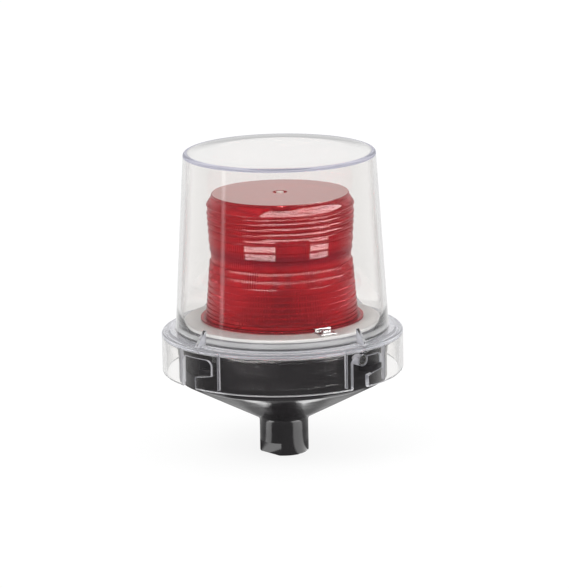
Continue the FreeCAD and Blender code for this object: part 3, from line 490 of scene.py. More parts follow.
def arc(start: Point, end: Point, bulge: float, steps: int) -> list[Point]:
    """Points of an arc.

    Args:
        start: Where it starts; not among the points returned.
        end: Where it ends; the last point returned.
        bulge: How far it stands out to the right of the way from start to end.
        steps: How many pieces it is cut into.

    Returns:
        The points after start, up to end.
    """
    a, b = Vector(start), Vector(end)
    chord = b - a
    right = Vector((chord.y, -chord.x)).normalized()
    size = abs(bulge)
    radius = (chord.length_squared / 4.0 + size * size) / (2.0 * size)
    side = 1.0 if bulge > 0 else -1.0
    centre = (a + b) / 2.0 + right * (bulge - side * radius)
    first = math.atan2(a.y - centre.y, a.x - centre.x)
    sweep = (math.atan2(b.y - centre.y, b.x - centre.x) - first) % FULL_TURN
    if side < 0:
        sweep -= FULL_TURN
    turns = [first + sweep * k / steps for k in range(1, steps + 1)]
    return [(centre.x + radius * math.cos(t), centre.y + radius * math.sin(t)) for t in turns]


def trace(corners: Sequence[tuple], steps: int = 8) -> list[Point]:
    """Turn (x, y) corners and (x, y, bulge) arc ends into plain points."""
    points: list[Point] = []
    for corner in corners:
        if len(corner) > 2:
            points += arc(points[-1], corner[:2], corner[2], steps)
        else:
            points.append(corner)
    return points


def quarter_bulge(radius: float) -> float:
    """How far a quarter circle stands out from its chord."""
    return radius * (1.0 - math.sqrt(0.5))


def span(start: Point, end: Point, count: int) -> list[Point]:
    """Evenly spaced points after start, up to end."""
    return [(start[0] + (end[0] - start[0]) * k / count, start[1] + (end[1] - start[1]) * k / count)
            for k in range(1, count + 1)]


def lathe(name: str, profile: Sequence[Point], segments: int) -> Mesh:
    """Turn a closed profile of (radius, height) points, in millimetres, about the Z axis."""
    rows: list[list[int]] = []
    verts: list[tuple[float, float, float]] = []
    for radius, height in profile:
        if radius < NEARLY_ZERO:
            rows.append([len(verts)] * segments)
            verts.append((0.0, 0.0, height * MM))
            continue
        rows.append(list(range(len(verts), len(verts) + segments)))
        for k in range(segments):
            turn = FULL_TURN * k / segments
            verts.append((radius * MM * math.sin(turn), -radius * MM * math.cos(turn), height * MM))
    faces = []
    for row, following in zip(rows, rows[1:] + rows[:1]):
        for k in range(segments):
            nxt = (k + 1) % segments
            corners = [row[k], row[nxt], following[nxt], following[k]]
            unique = list(dict.fromkeys(corners))
            if len(unique) > 2:
                faces.append(unique)
    return solid(name, verts, faces)


def solid(name: str, verts: Sequence[tuple], faces: Sequence[Sequence[int]]) -> Mesh:
    """Make a mesh with its doubles merged and every face pointing outwards."""
    mesh = bpy.data.meshes.new(name)
    mesh.from_pydata(verts, [], faces)
    work = bmesh.new()
    work.from_mesh(mesh)
    bmesh.ops.remove_doubles(work, verts=work.verts, dist=1e-7)
    bmesh.ops.recalc_face_normals(work, faces=work.faces)
    work.to_mesh(mesh)
    work.free()
    mesh.update()
    return mesh


class Facing(Enum):
    """How an extruded outline stands at the front of the light."""

    RADIAL = "radial"        # outline of (radius, height), thick to both sides
    OUTWARD = "outward"      # outline of (sideways, height), from one radius to another


def slab(name: str, outline: Sequence[Point], facing: Facing, low: float, high: float) -> Mesh:
    """Extrude an outline at azimuth zero.

    Args:
        name: The mesh's name.
        outline: Its corners in millimetres.
        facing: How it stands.
        low: Where the extrusion starts: sideways, or the inner radius.
        high: Where it ends.

    Returns:
        A closed mesh.
    """
    def point(a: float, b: float, depth: float) -> tuple[float, float, float]:
        if facing is Facing.RADIAL:
            return (depth * MM, -a * MM, b * MM)
        return (a * MM, -depth * MM, b * MM)

    count = len(outline)
    verts = [point(a, b, low) for a, b in outline] + [point(a, b, high) for a, b in outline]
    faces = [list(range(count)), list(range(2 * count - 1, count - 1, -1))]
    faces += [[k, k + count, (k + 1) % count + count, (k + 1) % count] for k in range(count)]
    return solid(name, verts, faces)


def rod(name: str, radius: float, start: float, end: float, level: float, azimuth: float,
        segments: int = 64) -> Item:
    """A plain cylinder that points outwards at an azimuth, used as a cutter or a boss."""
    mesh = lathe(name, [(0.0, start), (radius, start), (radius, end), (0.0, end)], segments)
    turn = Matrix.Rotation(math.radians(azimuth), 4, "Z") @ Matrix.Rotation(math.pi / 2.0, 4, "X")
    mesh.transform(Matrix.Translation((0.0, 0.0, level * MM)) @ turn)
    return stand(name, mesh)


def stand(name: str, data: bpy.types.ID) -> Item:
    """Put a mesh, a camera or a lamp in the scene as an object at the origin."""
    item = bpy.data.objects.new(name, data)
    bpy.context.scene.collection.objects.link(item)
    return item


def settle(item: Item) -> Item:
    """Apply an object's modifiers to its mesh and remove them."""
    bpy.context.view_layer.update()
    evaluated = item.evaluated_get(bpy.context.evaluated_depsgraph_get())
    mesh = bpy.data.meshes.new_from_object(evaluated)
    item.modifiers.clear()
    item.data = mesh
    return item


def combine(item: Item, tools: Sequence[Item], operation: str) -> None:
    """Cut tools out of an object, or join them to it, and remove them."""
    for tool in tools:
        step = item.modifiers.new("combine", "BOOLEAN")
        step.operation = operation
        step.solver = "EXACT"
        step.object = tool
    settle(item)
    for tool in tools:
        bpy.data.objects.remove(tool)


def smooth(mesh: Mesh, angle: float = 30.0) -> None:
    """Shade a mesh smooth, with sharp edges past an angle in degrees."""
    mesh.shade_smooth()
    mesh.set_sharp_from_angle(angle=math.radians(angle))


def bevel(item: Item, width: float, segments: int = 2, angle: float = 40.0) -> None:
    """Round an object's sharp edges by a width in millimetres."""
    step = item.modifiers.new("edges", "BEVEL")
    step.width = width * MM
    step.segments = segments
    step.limit_method = "ANGLE"
    step.angle_limit = math.radians(angle)
    settle(item)


def dress(item: Item, material: Material) -> None:
    """Give an object one material."""
    item.data.materials.clear()
    item.data.materials.append(material)


# ---- geometry node trees

class ShapeTrees(TreeShelf):
    """Geometry node trees and the call that runs them."""

    @classmethod
    def run(cls, item: Item, name: str, **values) -> Item:
        """Run a tree on an object and keep the result as its mesh.

        Args:
            item: The object.
            name: The tree's name.
            values: The tree's inputs, with underscores for spaces.

        Returns:
            The same object.
        """
        tree = cls.get(name)
        step = item.modifiers.new(name, "NODES")
        step.node_group = tree
        sockets = {s.name: s.identifier for s in tree.interface.items_tree
                   if s.item_type == "SOCKET" and s.in_out == "INPUT"}
        for key, value in values.items():
            step[sockets[key.replace("_", " ")]] = value
        return settle(item)

    @staticmethod
    def _start(name: str, inputs: dict[str, tuple[str, object]]) -> tuple[Graph, dict]:
        """Start a tree that takes and gives a geometry."""
        sockets = {"Geometry": ("NodeSocketGeometry", None)} | inputs
        sockets |= {"Material": ("NodeSocketMaterial", None)}
        return open_group(name, "GeometryNodeTree", sockets, {"Geometry": "NodeSocketGeometry"})

    @staticmethod
    def _finish(graph: Graph, geometry: Socket, source) -> Tree:
        """End a tree in Realize Instances and Set Material."""
        solid = graph.add("GeometryNodeRealizeInstances", {0: geometry})
        painted = graph.add("GeometryNodeSetMaterial", {"Geometry": solid.outputs[0],
                                                        "Material": source["Material"]})
        return close_group(graph, Geometry=painted.outputs[0])

    @classmethod
    def _ring(cls) -> Tree:
        """Copies of a piece, turned about the light's axis."""
        graph, source = cls._start("ring", {"Count": (WHOLE, 4), "First Turn": (FLOAT, 0.0)})
        step = graph.math("DIVIDE", FULL_TURN, source["Count"])
        index = graph.add("GeometryNodeInputIndex").outputs[0]
        turn = graph.math("MULTIPLY_ADD", index, step, source["First Turn"])
        spun = graph.add("ShaderNodeCombineXYZ", {2: turn})
        points = graph.add("GeometryNodePoints", {"Count": source["Count"]})
        copies = graph.add("GeometryNodeInstanceOnPoints", {
            "Points": points.outputs[0], "Instance": source["Geometry"],
            "Rotation": spun.outputs[0]})
        return cls._finish(graph, copies.outputs[0], source)

    @classmethod
    def _lens_relief(cls) -> Tree:
        """Rounded rings outside a wall and upright flutes inside it.

        The wall's own attributes say where a point is across its ring, how high that ring
        stands, and how deep the flutes are there.
        """
        graph, source = cls._start("lens_relief", {
            "Ring Height": (FLOAT, 0.001), "Roundness": (FLOAT, 1.0),
            "Flutes": (WHOLE, 160), "Flute Depth": (FLOAT, 0.0003)})

        def read(name: str) -> Socket:
            return graph.add("GeometryNodeInputNamedAttribute", {"Name": name},
                             data_type="FLOAT").outputs[0]

        across = read("ring_place")
        arch = graph.times(across, 4.0, graph.minus(1.0, across))
        crown = graph.math("POWER", graph.largest(arch, 0.0), source["Roundness"])
        rings = graph.times(crown, read("ring_share"), source["Ring Height"])
        where = graph.add("GeometryNodeInputPosition").outputs[0]
        flat = graph.vector("MULTIPLY", where, (1.0, 1.0, 0.0))
        parts = graph.split(where)
        around = graph.azimuth(parts[0], parts[1])
        wave = graph.math("COSINE", graph.times(around, source["Flutes"]))
        flutes = graph.times(wave, read("flute_share"), source["Flute Depth"])
        size = graph.minus(rings, flutes)
        out = graph.add("ShaderNodeVectorMath", {0: graph.vector("NORMALIZE", flat)},
                        operation="SCALE")
        graph.feed(out.inputs["Scale"], size)
        moved = graph.add("GeometryNodeSetPosition", {"Geometry": source["Geometry"],
                                                      "Offset": out.outputs[0]})
        return cls._finish(graph, moved.outputs[0], source)


def ring_of(item: Item, first: float, material: Material | None = None,
            count: int = QUARTER) -> Item:
    """Repeat an object round the light's axis, from a first azimuth in degrees."""
    values = {"Count": count, "First_Turn": math.radians(first)}
    if material:
        values["Material"] = material
    return ShapeTrees.run(item, "ring", **values)


# ---- sub-assemblies

@dataclass
class Assembly:
    """What every sub-assembly shares: the materials and the frame's nodes."""

    finishes: Finishes
    nodes: dict

    def piece(self, item: Item, body: str, slot: str, *replaced: str) -> None:
        """Attach a piece to its body's empty, hide the nodes it stands for and log it."""
        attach(item, body)
        if replaced:
            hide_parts(*replaced)
        LOG.info("%s rides on %s, %d faces", item.name, body, len(item.data.polygons))

    def paint(self, node: str, finish: SolidFinish | ClearFinish) -> None:
        """Give a carried-over node its finish."""
        mesh = self.nodes[node].data
        material = self.finishes.get(finish)
        if not mesh.materials:
            mesh.materials.append(material)
        for place in range(len(mesh.materials)):
            mesh.materials[place] = material
        LOG.info("%s carried over in %s", node, finish.name)


@dataclass
class Housing(Assembly):
    """The black housing: pipe hub, funnel, rim and bayonet lugs. Sizes in millimetres."""

    hub: float = 16.7
    hub_top: float = 24.0
    chamfer: float = 1.2
    thread: float = 9.13
    thread_top: float = 20.0
    passage: float = 8.0
    neck: Point = (20.3, 26.4)
    rim: float = 71.2
    rim_foot: float = 53.4
    rim_top: float = 82.0
    lug_azimuth: float = LUG_AZIMUTH
    flat_azimuth: float = -48.0
    segments: int = ROUND

    def outline(self) -> list[Point]:
        """Half section of the shell."""
        lower = trace([(self.thread, 0.0), (self.hub - self.chamfer, 0.0),
                       (self.hub, self.chamfer, quarter_bulge(self.chamfer))], 5)
        fillet = trace([(self.hub, self.hub_top - 1.2), (self.neck[0] + 1.6, self.neck[1] + 0.85,
                                                         -0.75)], 6)
        corner = trace([(self.rim - 1.2, self.rim_foot - 0.64), (self.rim, self.rim_foot + 1.4,
                                                                 0.35)], 5)
        rim = trace([(self.rim, 78.8), (self.rim, 79.0), (70.8, 79.4), (70.8, 81.6),
                     (70.4, self.rim_top, quarter_bulge(0.4))], 4)
        inner = [(62.5, self.rim_top), (62.5, 78.5), (67.2, 76.15), (67.2, 55.78), (8.0, 24.38),
                 (self.passage, self.thread_top), (self.thread, self.thread_top)]
        sides = span((self.hub, self.chamfer), (self.hub, self.hub_top - 1.2), 3)[:-1]
        funnel = span(fillet[-1], corner[0], 6)[:-1]
        wall = span(corner[-1], (self.rim, 78.8), 4)[:-1]
        return lower + sides + fillet + funnel + corner + wall + rim + inner

    def lugs(self) -> Item:
        """The four bayonet lugs."""
        outline = [(-5.3, 67.89), (5.3, 69.78), (5.3, 73.23), (-5.3, 73.23)]
        lug = stand("lug", slab("lug", outline, Facing.OUTWARD, 69.7, 82.1))
        bevel(lug, 0.35)
        return ring_of(lug, self.lug_azimuth)

    def flats(self) -> Item:
        """The two cutters of the wrench flats."""
        outline = [(-20.0, -2.0), (20.0, -2.0), (20.0, 8.75), (-20.0, 8.75)]
        flat = stand("flat", slab("flat", outline, Facing.OUTWARD, 12.7, 20.0))
        return ring_of(flat, self.flat_azimuth, count=PAIR)

    def build(self) -> None:
        """Build and dress the housing."""
        shell = stand("housing_shell", lathe("housing_shell", self.outline(), self.segments))
        combine(shell, [self.flats()], "DIFFERENCE")
        combine(shell, [self.lugs()], "UNION")
        smooth(shell.data)
        dress(shell, self.finishes.get(BLACK_MOULDING))
        self.piece(shell, "base", "black_moulding", "base_housing")


@dataclass
class ClearDome(Assembly):
    """The clear dome with its stepped flange, skirt, slots, ribs and lock screw."""

    seat: float = 84.0
    top: float = 209.5
    ceiling: float = 207.5
    skirt: float = 82.5
    skirt_inner: float = 79.5
    skirt_low: float = 58.7
    lug_azimuth: float = LUG_AZIMUTH
    rib_azimuth: float = 44.0
    web_azimuths: Point = (57.35, 31.85)
    lock_azimuth: float = 40.3966
    lock_level: float = 78.5
    segments: int = ROUND

    def outline(self) -> list[Point]:
        """Half section: crown, drafted wall, stepped flange and skirt."""
        crown_in = trace([(61.6, self.ceiling), (62.6, 206.5, -quarter_bulge(1.0))], 6)
        crown_out = trace([(65.5, self.ceiling), (63.5, self.top, quarter_bulge(2.0))], 8)
        inside = span((0.0, self.ceiling), (61.6, self.ceiling), 5)[:-1]
        inner_wall = span((62.6, 206.5), (69.8, 91.0), 9)
        skirt_in = trace([(77.9, self.seat), (self.skirt_inner, 82.4, -quarter_bulge(1.6))], 4)
        inner_skirt = span((self.skirt_inner, 82.4), (self.skirt_inner, 59.5), 5)
        edge = [(80.3, self.skirt_low), (81.7, self.skirt_low), (self.skirt, 59.5)]
        outer_skirt = span((self.skirt, 59.5), (self.skirt, 84.6), 5)
        flange = trace([(self.skirt, 84.6), (80.9, 86.2, quarter_bulge(1.6))], 5)[1:]
        steps = [(80.6, 86.2), (80.6, 86.65), (76.9, 87.08), (76.7, 87.2), (76.7, 87.55),
                 (73.2, 87.97)]
        foot = trace([(73.2, 87.97), (72.72, 88.9, -0.15)], 4)[1:]
        outer_wall = span((72.72, 88.9), (72.1, 99.2), 2)
        outer_wall += span((72.1, 99.2), (65.5, self.ceiling), 8)
        roof = span((63.5, self.top), (0.0, self.top), 5)
        return ([(0.0, self.ceiling)] + inside + crown_in + inner_wall + [(68.6, 88.0)]
                + [(68.6, self.seat)] + skirt_in + inner_skirt + edge + outer_skirt + flange
                + steps + foot + outer_wall + crown_out[1:] + roof)

    def slots(self) -> Item:
        """The four L-shaped cutters of the bayonet slots."""
        outline = trace([(-8.6, 56.7), (-8.6, 67.0), (6.0, 69.6), (6.0, 76.0),
                         (1.6, 80.4, quarter_bulge(4.4)), (-17.8, 80.4),
                         (-22.0, 76.2, quarter_bulge(4.2)), (-22.0, 56.7)], 8)
        cutter = stand("slot", slab("slot", outline, Facing.OUTWARD, self.skirt_inner - 8.0, 84.5))
        return ring_of(cutter, self.lug_azimuth)

    def ribs(self) -> Item:
        """The four gusset ribs."""
        outline = [(71.3, 85.4), (81.0, 85.4), (81.0, 87.4), (72.8, 97.5), (71.0, 97.5)]
        rib = stand("rib", slab("rib", outline, Facing.RADIAL, -1.3, 1.3))
        bevel(rib, 0.25)
        return ring_of(rib, self.rib_azimuth)

    def webs(self, azimuth: float) -> Item:
        """Four low webs down the inside of the skirt."""
        outline = [(77.5, 60.3), (81.0, 60.3), (81.0, 85.4), (77.5, 85.4)]
        web = stand("web", slab("web", outline, Facing.RADIAL, -0.6, 0.6))
        return ring_of(web, azimuth)

    def is_edge(self, face: bpy.types.MeshPolygon) -> bool:
        """Whether a face is a cut or narrow side of the skirt, a web or a rib."""
        x, y, z = (value / MM for value in face.center)
        radius = math.hypot(x, y)
        if abs(face.normal.x * x + face.normal.y * y) > 0.5 * radius:
            return False
        slot_side = self.skirt_inner + 0.2 < radius < self.skirt - 0.2 and 59.2 < z < 81.0
        web_side = 76.0 < radius < self.skirt_inner and 60.5 < z < 83.5
        rib_side = 72.9 < radius < 81.0 and z > 87.0 and abs(face.normal.z) < 0.3
        return slot_side or web_side or rib_side and z < 98.0

    def build(self) -> None:
        """Build and dress the dome."""
        dome = stand("clear_dome", lathe("clear_dome", self.outline(), self.segments))
        combine(dome, [self.ribs()] + [self.webs(a) for a in self.web_azimuths], "UNION")
        combine(dome, [self.slots()], "DIFFERENCE")
        boss = rod("lock_boss", 4.4, 75.5, 82.42, self.lock_level, self.lock_azimuth)
        combine(dome, [boss], "UNION")
        hole = rod("insert_hole", 3.1, 73.0, 86.0, self.lock_level, self.lock_azimuth)
        combine(dome, [hole], "DIFFERENCE")
        smooth(dome.data)
        dress(dome, self.finishes.get(CLEAR_DOME))
        # The cut and narrow sides get the painted highlight finish.
        dome.data.materials.append(self.finishes.get(CLEAR_EDGE_HIGHLIGHT))
        for face in dome.data.polygons:
            face.material_index = int(self.is_edge(face))
        self.piece(dome, "dome", "clear_dome", "outer_dome")
        self.paint("lock_screw_insert", NICKEL)
        self.paint("lock_screw", PLATED_STEEL)
        self.paint("dome_gasket", BLACK_RUBBER)


@dataclass(frozen=True)
class Ring:
    """One ring of the lens's wall. Sizes in millimetres."""

    height: float
    bulge: float = 1.0        # how round it is, as a share of a full ring
    lift: float = 0.0         # how far it stands out from its groove before it bulges
    lean: float = 0.0         # degrees by which it faces upwards
    flutes: float = 0.0       # share of the flutes' depth on its face

    def stations(self) -> tuple[float, ...]:
        """Where the ring's rows of points lie, as shares of its height."""
        if self.height > TALL_RING:
            return (0.0, 0.05, 0.12, 0.25, 0.4, 0.55, 0.7, 0.83, 0.93)
        return (0.0, 0.08, 0.2, 0.4, 0.6, 0.8, 0.93)


@dataclass(frozen=True)
class WallRow:
    """One row of the lens's profile and what the relief does there."""

    radius: float
    level: float
    place: float = 0.0
    bulge: float = 0.0
    flutes: float = 0.0


@dataclass
class RingLens(Assembly):
    """The red lens, with rounded rings outside and fine flutes inside, and its clips."""

    foot: float = 94.5
    foot_radius: float = 55.5
    body: float = 96.3
    rings_down: tuple[Ring, ...] = (
        Ring(5.4, 0.05, 1.3, -5.0, flutes=0.7), Ring(5.5, 0.05, 1.3, -5.0, flutes=0.7),
        Ring(4.9, 0.05, 1.2, -7.0), Ring(4.2, 0.05, 1.1, -9.0), Ring(3.8, 0.04, 0.9, -10.0),
        Ring(3.6, 0.04, 0.9, -10.0), Ring(3.5, 0.04, 0.8, -10.0), Ring(3.1, 0.04, 0.8, -10.0),
        Ring(2.7, 0.04, 0.7, -10.0), Ring(2.6, 0.04, 0.7, -10.0))
    belt: Ring = Ring(7.4, -0.04, 0.8, -3.0)
    rings_up: tuple[Ring, ...] = (
        Ring(5.4, 0.06, 1.2, 7.0), Ring(5.5, 0.07, 1.5, 7.0), Ring(4.9, 0.40, 1.0, 7.0),
        Ring(4.2, 0.9, 0.1, 8.0), Ring(3.8, 0.9, 0.1, 8.0), Ring(3.6, 0.9, 0.1, 8.0),
        Ring(2.4, 0.6, 0.1, 6.0))
    shoulder: float = 5.7
    rise: float = 3.0
    root_low: float = 51.3
    root_belt: float = 47.1
    root_high: float = 48.4
    top_radius: float = 47.0
    inner_low: float = 49.3
    inner_belt: float = 45.0
    inner_high: float = 46.3
    roof: float = 2.4
    gate: float = 5.0
    gate_depth: float = 1.2
    stub: float = 2.6
    clip_azimuth: float = 28.3
    screw_circle: float = 61.2
    ring_height: float = 2.1
    flutes: int = 160
    flute_depth: float = 0.22
    steps_per_flute: int = 3

    def levels(self) -> tuple[float, float, float]:
        """Heights of the belt's bottom, the belt's top and the collar's top."""
        belt_low = self.body + sum(ring.height for ring in self.rings_down)
        belt_top = belt_low + self.belt.height
        return belt_low, belt_top, belt_top + sum(ring.height for ring in self.rings_up)

    def root(self, level: float) -> float:
        """Radius of the grooves between the rings at a height."""
        belt_low, belt_top, collar = self.levels()
        below = min(max((belt_low - level) / (belt_low - self.body), 0.0), 1.0)
        above = min(max((level - belt_top) / (collar - belt_top), 0.0), 1.0)
        return (self.root_belt + (self.root_low - self.root_belt) * below
                + (self.root_high - self.root_belt) * above)

    def ring_rows(self, ring: Ring, low: float) -> list[WallRow]:
        """The rows of one ring, from its lower groove up."""
        rows = []
        for share in ring.stations():
            level = low + ring.height * share
            radius = self.root(level)
            if share:
                radius += ring.lift
                radius += (0.5 - share) * ring.height * math.tan(math.radians(ring.lean))
            rows.append(WallRow(radius, level, share, ring.bulge, ring.flutes if share else 0.0))
        return rows

    def wall_rows(self) -> list[WallRow]:
        """The whole closed profile: foot, rings, roof with its gate, and the inside."""
        belt_low, belt_top, collar = self.levels()
        rows = [WallRow(self.inner_low, self.foot), WallRow(self.foot_radius, self.foot),
                WallRow(self.foot_radius, self.body)]
        level = self.body
        for ring in (*reversed(self.rings_down), self.belt, *self.rings_up):
            rows += self.ring_rows(ring, level)
            level += ring.height
        top = level + self.shoulder + self.rise
        edge = [(self.root_high, level), (self.root_high + 1.5, level + 0.5),
                (self.root_high + 1.9, level + 1.3), (self.root_high + 1.7, level + 2.0),
                (self.top_radius + 0.2, top - 2.4), (self.top_radius - 0.4, top - 2.1),
                (self.top_radius - 0.2, top - 0.5), (self.top_radius - 0.7, top)]
        face = [(radius, top) for radius in (36.0, 24.0, 12.0, self.gate + 0.6, self.gate)]
        pit = [(self.gate - 0.3, top - self.gate_depth), (0.0, top - self.gate_depth)]
        under = [(0.0, top - self.roof), (20.0, top - self.roof),
                 (self.inner_high - 1.9, top - self.roof), (self.inner_high - 0.2, collar)]
        rows += [WallRow(radius, z) for radius, z in edge + face + pit + under]
        inside = [(self.inner_high, collar - 2.0)]
        inside += span(inside[0], (self.inner_belt, belt_top), 6)
        inside += span((self.inner_belt, belt_top), (self.inner_belt, belt_low), 3)
        inside += span((self.inner_belt, belt_low), (self.inner_low - 0.1, self.body + 2.7), 8)
        rows += [WallRow(radius, z, flutes=1.0) for radius, z in inside]
        rows.append(WallRow(self.inner_low, self.body + 0.7))
        return rows

    def build_lens(self) -> None:
        """Build and dress the lens."""
        rows = self.wall_rows()
        segments = self.flutes * self.steps_per_flute
        mesh = lathe("red_ring_lens", [(row.radius, row.level) for row in rows], segments)
        item = stand("red_ring_lens", mesh)
        values: dict[str, list[float]] = {"ring_place": [], "ring_share": [], "flute_share": []}
        for row in rows:
            copies = 1 if row.radius < NEARLY_ZERO else segments
            for key, value in zip(values, (row.place, row.bulge, row.flutes)):
                values[key] += [value] * copies
        for key, numbers in values.items():
            mesh.attributes.new(key, "FLOAT", "POINT").data.foreach_set("value", numbers)
        ShapeTrees.run(item, "lens_relief", Ring_Height=self.ring_height * MM, Roundness=0.8,
                       Flutes=self.flutes, Flute_Depth=self.flute_depth * MM,
                       Material=self.finishes.get(RED_LENS))
        for key in values:
            item.data.attributes.remove(item.data.attributes[key])
        smooth(item.data, 35.0)
        self.piece(item, "base", "red_lens", "red_lens")

    def build_stub(self) -> None:
        """Build the cut stub that the moulding gate leaves in the roof's recess; its pale colour is
        a painted glint.
        """
        low = self.levels()[2] + self.shoulder + self.rise - self.gate_depth
        profile = trace([(0.0, low - 0.4), (self.stub, low - 0.4), (self.stub, low + 1.0),
                         (self.stub - 0.35, low + 1.35, quarter_bulge(0.35)), (0.0, low + 1.35)], 4)
        stub = stand("gate_stub_painted_glint", lathe("gate_stub_painted_glint", profile, 32))
        smooth(stub.data)
        dress(stub, self.finishes.get(GATE_STUB_GLINT))
        self.piece(stub, "base", "red_lens", "red_lens")

    def build_clips(self) -> None:
        """Build the two clips and their screws."""
        outline = [(56.0, 94.0), (65.2, 94.0), (65.2, 95.2), (57.2, 95.2), (57.2, 97.5),
                   (53.5, 97.5), (53.5, 96.3), (56.0, 96.3)]
        clip = stand("lens_clip_set", slab("clip", outline, Facing.RADIAL, -6.0, 6.0))
        bevel(clip, 0.3, 3)
        ring_of(clip, self.clip_azimuth, self.finishes.get(PLATED_STEEL), PAIR)
        smooth(clip.data)
        self.piece(clip, "base", "plated_steel", "lens_clips")

        head = trace([(0.0, 76.0), (1.75, 76.0), (1.75, 95.2), (3.4, 95.2), (3.4, 96.0),
                      (2.1, 97.6, quarter_bulge(1.4)), (0.0, 97.6)], 6)
        screw = stand("lens_screw_set", lathe("screw", head, 40))
        screw.data.transform(Matrix.Translation((0.0, -self.screw_circle * MM, 0.0)))
        slot = [(-0.42, 96.4), (0.42, 96.4), (0.42, 99.0), (-0.42, 99.0)]
        cutter = stand("driver_slot", slab("driver_slot", slot, Facing.OUTWARD, 56.0, 66.0))
        combine(screw, [cutter], "DIFFERENCE")
        ring_of(screw, self.clip_azimuth, self.finishes.get(PLATED_STEEL), PAIR)
        smooth(screw.data)
        self.piece(screw, "base", "plated_steel", "lens_screws")

    def build(self) -> None:
        """Build the lens and what holds it."""
        self.build_lens()
        self.build_stub()
        self.build_clips()
        self.paint("lens_gasket", BLACK_RUBBER)


@dataclass
class MountingPlate(Assembly):
    """The spun pan that carries the lens and the flasher."""

    radius: float = 68.0
    wall: float = 67.0
    top: float = 94.0
    low: float = 92.0
    foot: float = 82.0
    hole: float = 12.0
    segments: int = ROUND

    def build(self) -> None:
        """Build and dress the plate."""
        profile = [(self.hole, self.low), (self.wall - 2.0, self.low), (self.wall - 2.0, self.foot),
                   (self.wall, self.foot), (self.wall, self.low - 0.8)]
        profile += arc((self.wall, self.low - 0.8), (self.radius, self.low), -0.2, 4)
        profile += [(self.radius, self.top - 0.9)]
        profile += arc((self.radius, self.top - 0.9), (self.radius - 0.9, self.top),
                       quarter_bulge(0.9), 5)
        profile += [(58.0, self.top), (self.hole, self.top)]
        plate = stand("plate_pan", lathe("plate_pan", profile, self.segments))
        smooth(plate.data)
        dress(plate, self.finishes.get(SPUN_PLATE))
        # The rim's upright faces get a painted highlight above the plate's underside and a painted
        # shade below it.
        for finish in (PLATE_RIM_HIGHLIGHT, PLATE_SIDE_SHADE):
            plate.data.materials.append(self.finishes.get(finish))
        for face in plate.data.polygons:
            radius, level = math.hypot(*face.center.xy) / MM, face.center.z / MM
            if radius > self.wall - 0.1 and abs(face.normal.z) < 0.9:
                face.material_index = 1 if level > self.low else 2
        self.piece(plate, "base", "grey_plate", "mounting_plate")
        for node in ("plate_spacers", "plate_screws"):
            self.paint(node, PLATED_STEEL)


@dataclass
class Carried(Assembly):
    """A sub-assembly whose nodes keep their own shapes and only get finishes."""

    looks: ClassVar[dict] = {}

    def build(self) -> None:
        """Dress the nodes."""
        for node, finish in self.looks.items():
            self.paint(node, finish)


class FlashUnit(Carried):
    """The plug-in flash tube and its socket."""

    looks = {"tube_socket": PHENOLIC, "tube_plug": PHENOLIC, "socket_screws": PLATED_STEEL,
             "tube_pins": BRASS, "tube_electrodes": NICKEL, "trigger_wire": NICKEL,
             "flash_tube": TUBE_GLASS, "tube_envelope": TUBE_GLASS, "tube_leads": LEAD_INSULATION}


class Flasher(Carried):
    """The circuit board, what it carries and the supply connections."""

    looks = {"circuit_board": BOARD, "board_standoffs": PLATED_STEEL,
             "board_screws": PLATED_STEEL, "storage_capacitor": SLEEVE,
             "transformer_core": CORE_STEEL, "transformer_winding": TAPE, "trigger_coil": TAPE,
             "heat_sink": SINK, "power_transistor": PHENOLIC, "terminal_block": TERMINAL,
             "terminal_screws": PLATED_STEEL, "earth_screw": EARTH_GREEN}


# ---- studio

@dataclass
class Window:
    """A bright rectangle of the studio that only reflections show. Angles in degrees.

    The azimuth runs from the front, positive towards +X.
    """

    azimuth: Point
    elevation: Point
    level: float
    soft: float = 1.5
    inside: bool = True       # shown only by what stands under the dome


def aim(place: Sequence[float], target: Sequence[float]) -> Matrix:
    """A placement that looks from a place towards a target."""
    way = (Vector(target) - Vector(place)).to_track_quat("-Z", "Y")
    return Matrix.Translation(place) @ way.to_matrix().to_4x4()


